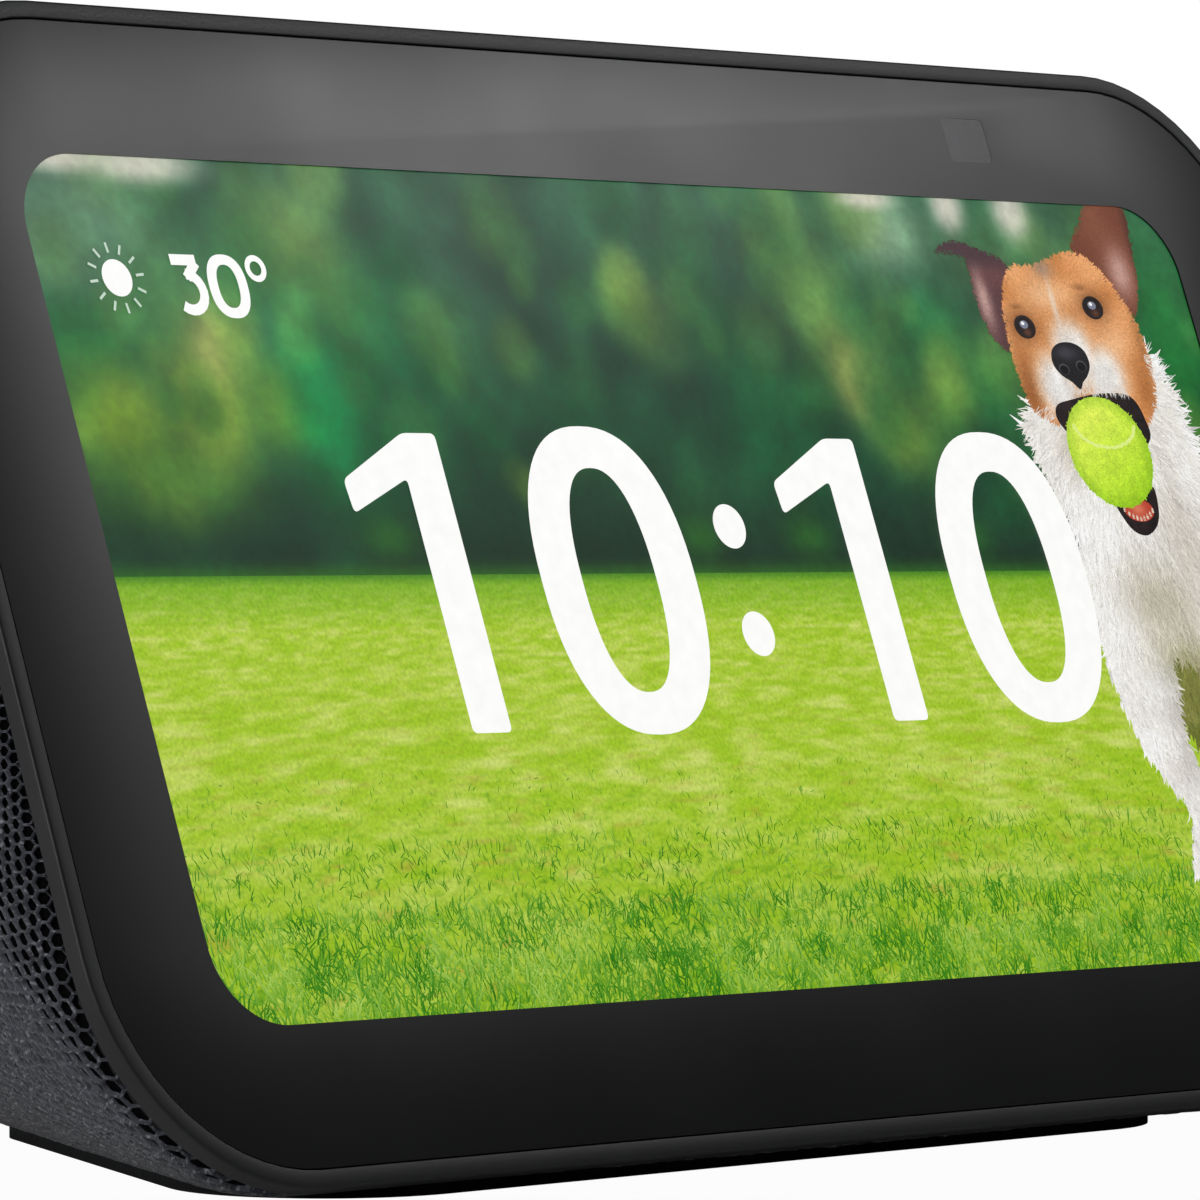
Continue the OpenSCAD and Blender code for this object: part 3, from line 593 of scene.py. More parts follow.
def foliage(x, y):
    """Trees far out of focus: dark trunks below, soft masses of leaf, and sky in the gaps."""
    mottle = soft_noise(x, y, 8.0, 1)
    tone = blend(shade("0f3a24"), shade("1d5634"), mottle)
    for colour, cx, cy, rx, ry, amount in (
        ("5f8a70", -58, 26, 8, 6, 0.8),
        ("4a7f50", -51, 22, 5, 5, 0.7),
        ("1c6a30", -59, 18, 5, 3, 0.8),
        ("7b9a2c", -58, 12, 5, 4, 0.85),
        ("5f8f2a", -55, 7, 7, 3.5, 0.7),
        ("8faa38", -49, 13, 4, 5.5, 0.85),
        ("b0b060", -47.5, 17.5, 2.6, 3, 0.75),
        ("6f9c30", -42, 13, 3.5, 3.5, 0.7),
        ("6d9440", -37, 25, 5, 5, 0.8),
        ("4f8a38", -33, 20, 4, 4, 0.6),
        ("048040", -38, 13, 3.4, 7, 0.85),
        ("0b6a38", -29, 19, 5, 6, 0.6),
        ("0a6434", -33, 8, 4, 4, 0.5),
        ("203c2c", -18, 24, 9, 9, 0.6),
        ("17402a", -8, 17, 10, 9, 0.5),
        ("1f3d2d", 4, 24, 9, 9, 0.6),
        ("0c6a38", 7, 15, 4, 6, 0.55),
        ("0c5a30", 11, 8, 6, 4, 0.5),
        ("5f8a3c", 15, 26, 4, 5, 0.75),
        ("6f9a40", 17.5, 21, 4, 4.5, 0.75),
        ("aab458", 19.5, 15.8, 3.2, 3.6, 0.85),
        ("7f9f3c", 23, 11, 3.4, 3, 0.7),
        ("86a884", 27, 28, 5, 3.4, 0.8),
        ("1a7a38", 30, 20, 3.4, 3.4, 0.75),
        ("6b9038", 29, 14, 3.6, 2.6, 0.7),
        ("156a30", 34, 16, 3, 4, 0.6),
        ("567f44", 42, 26, 8, 4, 0.7),
        ("0a6a24", 58, 20, 8, 11, 0.85),
    ):
        tone = blend(tone, shade(colour), amount * clump(x, y, cx, cy, rx, ry, 1.3))
    dice = np.random.default_rng(31)
    for _ in range(150):
        cx, cy, r = dice.uniform(-HALF_W, HALF_W), dice.uniform(5, HALF_H), dice.uniform(1.2, 3.4)
        share, amount = dice.uniform(0, 1) ** 2, dice.uniform(0.15, 0.45)
        disc = amount * clump(x, y, cx, cy, r, r * 1.15, 2.0)
        tone = blend(tone, blend(shade("0a5224"), shade("9cba44"), np.full(len(x), share)), disc)
    tone = blend(tone, shade("7c8c80"), 0.25 * np.clip((y - 12) / 18, 0, 1))
    leaves = soft_noise(0.8 * x + 0.6 * y, 0.8 * y - 0.6 * x, 3.6, 2) * 0.6 + soft_noise(x, y, 2.1, 3) * 0.4
    tone = tone * (0.82 + 0.46 * leaves)[..., None]
    for cx, cy, rx, ry in (
        (-50, 30.6, 5.5, 1.5),
        (-58, 30.9, 4, 1.2),
        (26, 30.8, 3.5, 1.0),
        (35.5, 30.4, 2.0, 2.2),
        (43, 30.2, 2.2, 2.4),
    ):
        tone = blend(tone, shade("e6ded0"), 0.85 * clump(x, y, cx, cy, rx, ry, 1.6))
    trunks = soft_noise(x, y, 4.0, 4, 1.6)
    low = np.clip((10.5 - y) / 8, 0, 1) * (0.35 + 0.6 * trunks)
    tone = blend(tone, shade("132a1c"), low)
    for cx in (-35, -3, 9, 27):
        tone = blend(tone, shade("2f7a24"), 0.6 * clump(x, y, cx, 3.2, 2.6, 1.6))
    near = np.clip((HORIZON + 1.5 - y) / 1.5, 0, 1)
    return blend(tone, shade("3a7a1c"), 0.7 * near**2)


def lawn(x, y):
    """Mown grass: blurred and even at the horizon, clumped and sharper towards the viewer."""
    below = np.clip((HORIZON - y) / (HORIZON + HALF_H), 0, 1)
    reach = 1 / (0.16 + 0.84 * below)
    gx, gy = x * reach * 0.8 + 9 * reach, 62 * reach - x * 0.12
    broad = soft_noise(gx + 60, gy, 4.5, 5) * 0.55 + soft_noise(gx + 0.5 * gy, gy * 1.3, 2.2, 10) * 0.45
    fine = soft_noise(gx - 0.4 * gy, gy * 1.3, 1.1, 6) * 0.5 + soft_noise(gx * 1.4 + gy, gy * 2.0, 0.5, 7) * 0.5
    tone = blend(shade("a2ca22"), shade("d0e070"), (broad - 0.3) * 1.7)
    tone = blend(tone, shade("6ba81a"), np.clip(1 - below * 8, 0, 1) * 0.8)
    tone = blend(tone, shade("3f7d1c"), np.clip(1 - below * 45, 0, 1) * 0.8)
    tone = blend(tone, shade("92ba1e"), np.clip((below - 0.55) * 1.9, 0, 1) * 0.7)
    strength = np.clip((below - 0.3) * 1.7, 0.12, 1)
    tone = blend(tone, shade("4f9208"), np.clip((0.44 - fine) * 3.0, 0, 1) * strength * 0.75)
    tone = blend(tone, shade("d2e27c"), np.clip((fine - 0.6) * 3.0, 0, 1) * strength * 0.55)
    dry = soft_noise(gx, gy * 2, 2.6, 8)
    return blend(tone, shade("b3a040"), np.clip((dry - 0.74) * 4, 0, 1) * 0.55 * np.clip(below * 2 - 0.3, 0, 1))


def grass_blades(painting):
    """Blades, drawn from the middle distance to the nearest, which are the longest."""
    for low, high, count, length, width in (
        (-21, -14, 700, 0.6, 0.08),
        (-25, -19, 2000, 1.0, 0.1),
        (-28.5, -24, 3200, 1.5, 0.14),
        (-32, -28, 3400, 1.9, 0.16),
    ):
        y = np.sort(rng.uniform(low, high, count))[::-1]
        x = rng.uniform(-HALF_W, HALF_W, count)
        tuft = soft_noise(x, y, 2.4, 9)
        pick = np.clip(rng.normal(tuft, 0.2), 0, 1)
        root = blend(shade("1f6a08"), shade("6ea61c"), pick)
        tip = blend(shade("3f9010"), shade("c2e070"), pick**1.3)
        lean = rng.normal(math.pi / 2, 0.42, count)
        size = length * rng.uniform(0.5, 1.25, count)
        painting.strokes(np.c_[x, y], lean, size, width * rng.uniform(0.5, 1.2, count), root, tip, rng.normal(0, 0.5, count))


def superellipse(cx, cy, rx, ry, power=2.0, count=72):
    a = np.linspace(0, 2 * math.pi, count, endpoint=False)
    c, s = np.cos(a), np.sin(a)
    k = 2 / power
    return np.c_[cx + rx * np.sign(c) * np.abs(c) ** k, cy + ry * np.sign(s) * np.abs(s) ** k]


def rounded_polygon(points, radius, steps=5):
    """A polygon with its corners rounded."""
    p = np.array(points, float)
    out = []
    for i in range(len(p)):
        before, at, after = p[i - 1], p[i], p[(i + 1) % len(p)]
        a = at + (before - at) / np.linalg.norm(before - at) * radius
        b = at + (after - at) / np.linalg.norm(after - at) * radius
        for t in np.linspace(0, 1, steps):
            out.append(a * (1 - t) ** 2 + at * 2 * t * (1 - t) + b * t**2)
    return np.array(out)


WHITE = shade("fdfdfb")


def flat_white(x, y):
    return np.broadcast_to(WHITE, (len(x), 3))


def ring_mark(painting, outer, inner):
    n = len(outer)
    i = np.arange(n)
    j = (i + 1) % n
    painting.add(np.concatenate([outer, inner]), np.c_[i, j, n + j, n + i], WHITE)


def line_mark(painting, points, width, tone=WHITE):
    """A line of one width through points, with square ends."""
    p = np.array(points, float)
    ways = np.gradient(p, axis=0)
    ways /= np.linalg.norm(ways, axis=1)[:, None]
    across = np.c_[-ways[:, 1], ways[:, 0]] * width / 2
    n = len(p)
    i = np.arange(n - 1)
    painting.add(np.concatenate([p - across, p + across]), np.c_[i, i + 1, n + i + 1, n + i], tone)


def one(painting, x, top=11.0, bottom=-11.2):
    """The figure 1, with its stem's left edge at x."""
    stem_w, flag_w = 3.9, 6.3
    outline = [
        (x + stem_w, top),
        (x + 0.6, top),
        (x - flag_w, top - 3.5),
        (x - flag_w + 0.25, top - 6.0),
        (x, top - 3.4),
        (x, bottom),
        (x + stem_w, bottom),
    ]
    painting.fan(rounded_polygon(outline, 0.5), flat_white, centre=(x + 1.6, top - 2.4))


def zero(painting, cx, cy, rx, ry, stroke_x, stroke_y, power):
    ring_mark(
        painting,
        superellipse(cx, cy, rx, ry, power),
        superellipse(cx, cy, rx - stroke_x, ry - stroke_y, power),
    )


def clock():
    painting = Painting(PICTURE_FRONT)
    for stem, middle in ((-31.9, -12.9), (12.75, 31.65)):
        one(painting, stem)
        zero(painting, middle, 0.0, 8.1, 11.7, 4.2, 3.2, 2.35)
    for y in (4.05, -4.25):
        painting.fan(superellipse(0.35, y, 1.68, 1.72), flat_white)
    painting.piece("screen_clock", lit("screen_clock", grain=1.4, spread=0.02))


def weather():
    """A sun with twelve rays, and 30 degrees."""
    painting = Painting(PICTURE_FRONT)
    sun = np.array([-54.9, 22.0])
    painting.fan(superellipse(*sun, 1.36, 1.36), flat_white)
    for k in range(12):
        a = math.pi / 6 * k + 0.13
        way = np.array([math.cos(a), math.sin(a)])
        line_mark(painting, [sun + way * 1.85, sun + way * 2.6], 0.2, shade("c4d8c8"))
    top, bottom, stroke = 23.9, 19.4, 0.8
    bowl_r, bowl_x = 1.33, -48.35
    bowl = [
        (bowl_x + bowl_r * math.cos(a), bottom + bowl_r + stroke / 2 + bowl_r * math.sin(a))
        for a in np.linspace(0.5 * math.pi, -0.72 * math.pi, 14)
    ]
    line_mark(painting, [(-49.5, top - stroke / 2), (-47.1, top - stroke / 2)], stroke)
    line_mark(painting, [(-47.15, top - stroke * 0.7), (-48.3, bottom + 2 * bowl_r + 0.1)], stroke)
    line_mark(painting, bowl, stroke)
    zero(painting, -44.5, (top + bottom) / 2, 1.86, 2.36, 0.88, 0.76, 2.4)
    zero(painting, -41.45, 23.05, 1.0, 1.0, 0.46, 0.46, 2.0)
    painting.piece("screen_weather", lit("screen_weather", grain=1.4, spread=0.02))


def scatter(outline, density):
    """Random points inside an outline, `density` for each square millimetre."""
    low, high = outline.min(axis=0), outline.max(axis=0)
    count = int(density * np.prod(high - low))
    points = rng.uniform(low, high, (count, 2))
    return points[inside(outline, points)]


def fur(painting, outline, tone, flow, length, width, density, vary=0.07):
    """Hair over an outline: a coarse coat that covers it, and a fine one on top."""
    painting.fill(outline, tone)
    for share_l, share_w, share_n in ((1.1, 3.0, 0.5), (1.0, 1.0, 1.0)):
        root = scatter(outline, density * share_n)
        root = root[np.argsort(root[:, 1])]
        n = len(root)
        shades = tone(root[:, 0], root[:, 1]) * rng.normal(1, vary, (n, 1))
        angle = flow(root[:, 0], root[:, 1]) + rng.normal(0, 0.28, n)
        size = length * share_l * rng.uniform(0.6, 1.3, n)
        painting.strokes(root, angle, size, width * share_w, shades * 0.96, shades * 1.05, rng.normal(0, 0.3, n))


def dog():
    """A terrier running at the viewer with a ball in its mouth, painted hair by hair."""
    painting = Painting(PICTURE_BACK - 0.03)
    down = -math.pi / 2

    def coat(x, y):
        patches = soft_noise(x, y, 2.2, 20)
        tone = blend(shade("d6d0c6"), shade("faf8f5"), patches * 0.8 + 0.3)
        tone = blend(tone, shade("faf8f5"), 0.7 * clump(x, y, 42.2, 2.0, 3.0, 9.0))
        tone = blend(tone, shade("a79f86"), 0.75 * clump(x, y, 48.0, -1.0, 4.5, 3.2))
        tone = blend(tone, shade("8f8a5c"), 0.8 * clump(x, y, 49.5, -6.5, 3.5, 2.6))
        tone = blend(tone, shade("b9b1a2"), 0.5 * clump(x, y, 53.0, 3.0, 3.5, 6.0))
        return blend(tone, shade("b4a98f"), 0.6 * clump(x, y, 43.5, 11.0, 1.8, 2.4))

    def fan_out(cx, cy):
        return lambda x, y: np.arctan2(y - cy, x - cx)

    far_leg = smooth_closed([(49, -3), (56, -2), (59, -9), (58, -17), (56, -22), (53.5, -22), (54, -14), (51, -9)])
    back = smooth_closed([(53, 12), (57.5, 10), (61, 8.5), (64, 6), (66, -2), (62, -9), (55, -8), (50, 0)])
    body = smooth_closed(
        [(38.9, 13.4), (38.7, 10.5), (39.6, 6.5), (40.2, 1.5), (39.9, -3), (41, -7), (45, -5.5), (49, -6.3), (53, -5.5),
         (57.5, -2), (58.6, 5), (57.6, 9.4), (56.8, 13.6), (54.8, 18), (47, 18)]
    )
    leg = smooth_closed(
        [(39.7, -3), (39.4, -8.3), (40.4, -12.6), (42.5, -16.4), (44.1, -19), (43.6, -21.5), (42.6, -23.6),
         (44.2, -24.6), (46.2, -23.5), (46.5, -20.5), (46.9, -15.6), (46.4, -12.4), (47.2, -8), (48, -3), (44, 0)]
    )
    belly = smooth_closed([(46, -6), (50, -4.5), (54, -6), (53, -12), (50, -16), (47.2, -13)])

    def shadowed(x, y):
        return blend(shade("5f6a24"), shade("8a8a4a"), soft_noise(x, y, 1.6, 21))

    def far_coat(x, y):
        return coat(x, y) * np.array([0.86, 0.84, 0.78])

    fur(painting, belly, shadowed, lambda x, y: np.full(len(x), down), 1.0, 0.12, 9)
    fur(painting, far_leg, far_coat, lambda x, y: np.full(len(x), down), 1.1, 0.12, 12)
    fur(painting, back, far_coat, lambda x, y: np.full(len(x), -0.9), 1.5, 0.12, 12)
    fur(painting, leg, lambda x, y: np.minimum(coat(x, y) * (1 - 0.10 * clump(x, y, 46.3, -11, 1.6, 9))[:, None], 1),
        lambda x, y: np.full(len(x), down + 0.25), 0.9, 0.11, 16, 0.05)
    fur(painting, body, coat, fan_out(47.0, 15.0), 1.7, 0.12, 15, 0.06)

    left_ear = smooth_closed(
        [(32.5, 26.5), (34.7, 27.6), (37.6, 27.1), (40.7, 25.9), (40.2, 23.6), (39.0, 21), (38.4, 18.3), (36.4, 19.9),
         (35.8, 23.0), (35.7, 26.1)]
    )
    right_ear = smooth_closed(
        [(49.2, 27.1), (51.2, 29.5), (53.0, 31.4), (57.0, 31.4), (57.3, 29), (56.8, 26), (56.2, 23.4), (54.6, 21.6), (52, 24.6)]
    )

    def left_ear_tone(x, y):
        tone = blend(shade("5a3a3c"), shade("c09a92"), clump(x, y, 36.9, 22.8, 0.8, 2.4))
        tone = blend(tone, shade("6e4444"), 0.8 * clump(x, y, 39.0, 24.6, 1.4, 0.9))
        return blend(tone, shade("4a343a"), np.clip((y - 25.2) / 1.2, 0, 1))

    def right_ear_tone(x, y):
        tone = blend(shade("74402e"), shade("c79c90"), clump(x, y, 54.6, 25.4, 1.5, 2.2))
        tone = blend(tone, shade("8a523c"), 0.8 * clump(x, y, 53.0, 29.6, 1.8, 2.2))
        return blend(tone, shade("4a2a22"), 0.9 * clump(x, y, 57.3, 27.0, 0.6, 5.5))

    fur(painting, left_ear, left_ear_tone, lambda x, y: np.full(len(x), -1.9), 0.2, 0.06, 44, 0.05)
    fur(painting, right_ear, right_ear_tone, lambda x, y: np.full(len(x), 1.2), 0.22, 0.06, 44, 0.05)

    head = smooth_closed(
        [(41.1, 25.4), (43.4, 25.5), (45.9, 26.1), (48.8, 26.9), (51.4, 26.0), (53.4, 23.6), (54.7, 21.0), (55.1, 18.0),
         (54.7, 15.2), (53.2, 13.2), (51, 12.2), (45, 12.0), (41, 12.8), (39.4, 13.5), (38.7, 15.2), (38.5, 18.8), (39.2, 22.6)]
    )

    def head_tone(x, y):
        tone = blend(shade("cd8448"), shade("f0aa70"), soft_noise(x, y, 1.8, 22))
        tone = blend(tone, shade("f8c698"), 0.8 * clump(x, y, 44.4, 23.2, 2.6, 1.5))
        tone = blend(tone, shade("f8c08e"), 0.8 * clump(x, y, 51.4, 19.4, 2.2, 1.6))
        tone = blend(tone, shade("8a5024"), 0.8 * clump(x, y, 39.6, 15.6, 1.3, 3.0))
        tone = blend(tone, shade("9c5c28"), 0.7 * clump(x, y, 53.6, 15.4, 1.5, 2.6))
        tone = blend(tone, shade("8e5c30"), 0.5 * clump(x, y, 54.6, 19.6, 0.8, 3.0))
        tone = blend(tone, shade("9a8474"), 0.75 * clump(x, y, 45.0, 25.4, 1.2, 0.8))
        tone = blend(tone, shade("f3e6da"), 0.7 * clump(x, y, 45.2, 22.3, 0.3, 2.0))
        muzzle = clump(x, y, 46.0, 18.2, 2.6, 3.0, 2.0)
        muzzle = np.maximum(muzzle, clump(x, y, 43.0, 15.6, 2.4, 2.9, 2.0))
        muzzle = np.maximum(muzzle, clump(x, y, 48.9, 16.6, 2.6, 2.6, 2.0))
        pale = blend(shade("dcd8d2"), shade("fbfaf8"), soft_noise(x, y, 0.9, 23))
        pale = blend(pale, shade("a8a29c"), 0.6 * clump(x, y, 45.4, 15.0, 1.2, 0.9))
        tone = blend(tone, pale, muzzle)
        socket = np.maximum(clump(x, y, 40.8, 20.6, 1.7, 1.3), clump(x, y, 49.9, 22.4, 1.8, 1.3))
        brow = np.maximum(clump(x, y, 40.6, 22.1, 0.9, 0.35), clump(x, y, 48.9, 23.9, 0.9, 0.35))
        return blend(tone, shade("5e3518"), np.maximum(0.75 * socket, 0.5 * brow))

    fur(painting, head, head_tone, fan_out(45.5, 20.0), 0.34, 0.06, 70, 0.05)
    tuft = np.c_[rng.uniform(38.9, 41.5, 90), rng.uniform(11.4, 14.0, 90)]
    painting.strokes(tuft, rng.normal(-2.4, 0.3, 90), rng.uniform(0.6, 1.1, 90), 0.05, np.tile(shade("efece6"), (90, 1)))
    ruff_y = rng.uniform(9.0, 18.5, 150)
    ruff = np.c_[54.6 + 0.2 * (18.5 - ruff_y) + rng.uniform(-0.3, 0.3, 150), ruff_y]
    painting.strokes(ruff, rng.normal(-0.5, 0.25, 150), rng.uniform(0.6, 1.2, 150), 0.05, np.tile(shade("ece9e0"), (150, 1)))

    def dark(x, y):
        return blend(shade("120c0e"), shade("2e1f1f"), soft_noise(x, y, 0.5, 24))

    painting.fan(smooth_closed([(41.9, 13.9), (44.4, 14.6), (48, 15.1), (51.4, 14.9), (52.5, 13.0), (52.1, 11.0), (47, 8.5), (42.2, 12.0)]), dark)
    jaw = smooth_closed([(45.7, 6.4), (48, 5.6), (50.9, 7.4), (51.0, 5.6), (50.2, 4.1), (48.5, 3.3), (46.8, 4.0)])
    painting.fan(jaw, dark)

    def tongue_tone(x, y):
        return blend(shade("b8402c"), shade("dd7a5c"), clump(x, y, 48.4, 5.5, 0.9, 0.6))

    painting.fan(superellipse(48.5, 5.4, 1.8, 0.95), tongue_tone)
    teeth = np.linspace(-1.0, 0.95, 9)
    painting.strokes(
        np.c_[48.5 + teeth * 1.75, 4.5 + 0.75 * teeth**2], np.full(9, math.pi / 2), 0.45, 0.28, np.tile(shade("efe6cf"), (9, 1))
    )

    ball = np.array([46.95, 10.2])

    def felt(x, y):
        light = np.clip(0.62 + 0.09 * (y - ball[1]) - 0.05 * (x - ball[0]), 0, 1)
        edge = np.hypot((x - ball[0]) / 4.95, (y - ball[1]) / 4.6)
        tone = blend(shade("a6dc1c"), shade("e6fc5c"), light)
        tone = blend(tone, shade("7cb414"), np.clip((edge - 0.74) * 2.2, 0, 1) * 0.8)
        return tone * (0.93 + 0.12 * soft_noise(x, y, 0.5, 25))[:, None]

    disc = superellipse(*ball, 4.95, 4.6, 2.0, 56)
    painting.fan(disc, felt)
    fur(painting, disc * 0.985 + ball * 0.015, felt, lambda x, y: rng.uniform(0, 2 * math.pi, len(x)), 0.3, 0.07, 60, 0.05)
    seam = [ball + np.array([3.7 * math.cos(a), 2.4 + 2.0 * math.sin(a)]) for a in np.linspace(math.pi + 0.1, 2 * math.pi - 0.1, 150)]
    seam = np.array(seam) + rng.normal(0, 0.05, (150, 2))
    painting.strokes(seam, np.tile([0.1, -0.2], 75), 0.3, 0.2, np.tile(shade("e2f58a"), (150, 1)))
    lip = np.c_[rng.uniform(42.6, 51.2, 140), rng.uniform(15.1, 15.9, 140)]
    painting.strokes(lip, rng.normal(down, 0.4, 140), rng.uniform(0.3, 0.6, 140), 0.07, np.tile(shade("e6e2dc"), (140, 1)))

    def eye(x, y, size):
        painting.fan(superellipse(x, y, 1.25 * size, 0.98 * size), lambda a, b: dark(a, b))
        painting.fan(
            superellipse(x + 0.05, y, 0.86 * size, 0.82 * size),
            lambda a, b: blend(shade("1a0e0b"), shade("5e3a2a"), clump(a, b, x + 0.15, y - 0.45, 0.5, 0.4)),
        )
        painting.fan(superellipse(x - 0.05, y + 0.2, 0.5, 0.34), lambda a, b: np.broadcast_to(shade("7c8296"), (len(a), 3)))
        painting.fan(superellipse(x - 0.16, y + 0.3, 0.2, 0.15), flat_white)

    eye(40.85, 20.5, 1.0)
    eye(49.9, 22.3, 1.0)

    def leather(x, y):
        tone = blend(shade("16161a"), shade("3c3c44"), clump(x, y, 45.0, 18.4, 1.4, 0.55))
        return tone * (0.9 + 0.25 * soft_noise(x, y, 0.22, 26))[:, None]

    nose = smooth_closed(
        [(43.0, 17.5), (43.3, 18.6), (44.5, 19.25), (46.2, 19.25), (47.3, 18.6), (47.5, 17.5), (46.9, 16.6), (46.1, 16.0),
         (45.5, 15.4), (44.7, 16.0), (43.6, 16.6)]
    )
    painting.fan(nose, leather)
    for x, y in ((44.2, 17.0), (46.4, 17.3)):
        painting.fan(superellipse(x, y + 0.06, 0.62, 0.46), lambda a, b: np.broadcast_to(shade("45454d"), (len(a), 3)))
        painting.fan(superellipse(x, y, 0.52, 0.38), lambda a, b: np.broadcast_to(shade("050506"), (len(a), 3)))
    painting.piece("screen_dog", lit("screen_dog", grain=0.16, spread=0.08))


def picture():
    trees = Painting(PICTURE_BACK)
    trees.sheet(-HALF_W, HALF_W, HORIZON - 0.2, HALF_H, 0.5, foliage)
    trees.piece("screen_trees", lit("screen_trees", grain=0.9, spread=0.1))
    grass = Painting(PICTURE_BACK - 0.005)
    grass.sheet(-HALF_W, HALF_W, -HALF_H, HORIZON, 0.26, lawn)
    grass.piece("screen_lawn", lit("screen_lawn", grain=0.3, spread=0.12))
    blades = Painting(PICTURE_BACK - 0.01)
    grass_blades(blades)
    blades.piece("screen_grass", lit("screen_grass", grain=0.12, spread=0.1))
    dog()
    clock()
    weather()


picture()


# ---------- knitted sleeve ----------


def geodesic(frequency):
    """A sphere of unit radius in even triangles: points and triangles."""
    golden = (1 + math.sqrt(5)) / 2
    base = np.array(
        [(-1, golden, 0), (1, golden, 0), (-1, -golden, 0), (1, -golden, 0), (0, -1, golden), (0, 1, golden),
         (0, -1, -golden), (0, 1, -golden), (golden, 0, -1), (golden, 0, 1), (-golden, 0, -1), (-golden, 0, 1)]
    )
    base /= np.linalg.norm(base[0])
    edge = np.linalg.norm(base[0] - base[1])
    sides = [
        (a, b, c)
        for a in range(12)
        for b in range(a + 1, 12)
        for c in range(b + 1, 12)
        if all(np.linalg.norm(base[p] - base[q]) < edge * 1.01 for p, q in ((a, b), (b, c), (a, c)))
    ]
    points, triangles, known = [], [], {}
    for a, b, c in sides:
        if np.dot(np.cross(base[b] - base[a], base[c] - base[a]), base[a]) < 0:
            b, c = c, b
        grid = {}
        for i in range(frequency + 1):
            for j in range(frequency + 1 - i):
                p = (base[a] * (frequency - i - j) + base[b] * i + base[c] * j) / frequency
                key = tuple(np.round(p * 1e5).astype(int))
                if key not in known:
                    known[key] = len(points)
                    points.append(p)
                grid[i, j] = known[key]
        for i in range(frequency):
            for j in range(frequency - i):
                triangles.append((grid[i, j], grid[i + 1, j], grid[i, j + 1]))
                if i + j < frequency - 1:
                    triangles.append((grid[i + 1, j], grid[i + 1, j + 1], grid[i, j + 1]))
    points = np.array(points)
    return points / np.linalg.norm(points, axis=1)[:, None], np.array(triangles)


def convex_form(node):
    """The convex form round a CAD node, run on under the frame, as something to cast rays at."""
    bm = bmesh.new()
    bm.from_mesh(frame["nodes"][node].data)
    for point in face_ring(SLEEVE_IN, UNDER_FRAME):
        bm.verts.new(FACE @ (Vector(point) * MM))
    hull = bmesh.ops.convex_hull(bm, input=bm.verts, use_existing_faces=False)
    spare = [g for g in hull["geom_interior"] + hull["geom_unused"] if isinstance(g, bmesh.types.BMVert)]
    bmesh.ops.delete(bm, geom=spare, context="VERTS")
    tree = BVHTree.FromBMesh(bm)
    bm.free()
    return tree


def neighbour_mean(points, triangles):
    total, count = np.zeros_like(points), np.zeros(len(points))
    for a, b in ((0, 1), (1, 2), (2, 0)):
        for p, q in ((a, b), (b, a)):
            np.add.at(total, triangles[:, p], points[triangles[:, q]])
            np.add.at(count, triangles[:, p], 1)
    return total / count[:, None]


def point_normals(points, triangles):
    a, b, c = (points[triangles[:, k]] for k in range(3))
    cross = np.cross(b - a, c - a)
    normals = np.zeros_like(points)
    for k in range(3):
        np.add.at(normals, triangles[:, k], cross)
    return normals / np.linalg.norm(normals, axis=1)[:, None]


def in_face_frame(points):
    """Points in millimetres as places on the face: across, up from its middle, and depth behind it."""
    local = (np.c_[points * MM, np.ones(len(points))] @ FACE_INVERSE.T)[:, :3] / MM
    return local[:, 0], local[:, 1], -local[:, 2]


def foot_half_width(y):
    """Half the width of the foot at a place along Y, 0 beyond its ends."""
    best = np.zeros_like(y)
    for t in np.linspace(0, 1, 25):
        cx, cy, r = (a * (1 - t) + b * t for a, b in zip(FOOT_FRONT, FOOT_REAR))
        reach = r**2 - (y - cy) ** 2
        best = np.maximum(best, np.where(reach > 0, cx + np.sqrt(np.maximum(reach, 0)), 0))
    return best


def on_sleeve(points, margin):
    """Which points the sleeve covers, away from the face, the strip, the inlet and the foot."""
    x, y, z = points.T
    across, up, depth = in_face_frame(points)
    strip_up = FACE_H / 2 - SHELL_IN - 1.5
    strip = (up > strip_up) & (np.abs(across) < STRIP_W / 2 + margin) & (depth < STRIP_BACK + margin)
    inlet = (np.abs(x) < NICHE_W / 2 + margin) & (np.abs(z - NICHE_Z) < NICHE_H / 2 + margin) & (y > 30)
    foot = (z < SLEEVE_FLOOR + 0.4) & (np.abs(x) < foot_half_width(y) + margin)
    return (depth > UNDER_FRAME + 0.25) & ~strip & ~inlet & ~foot


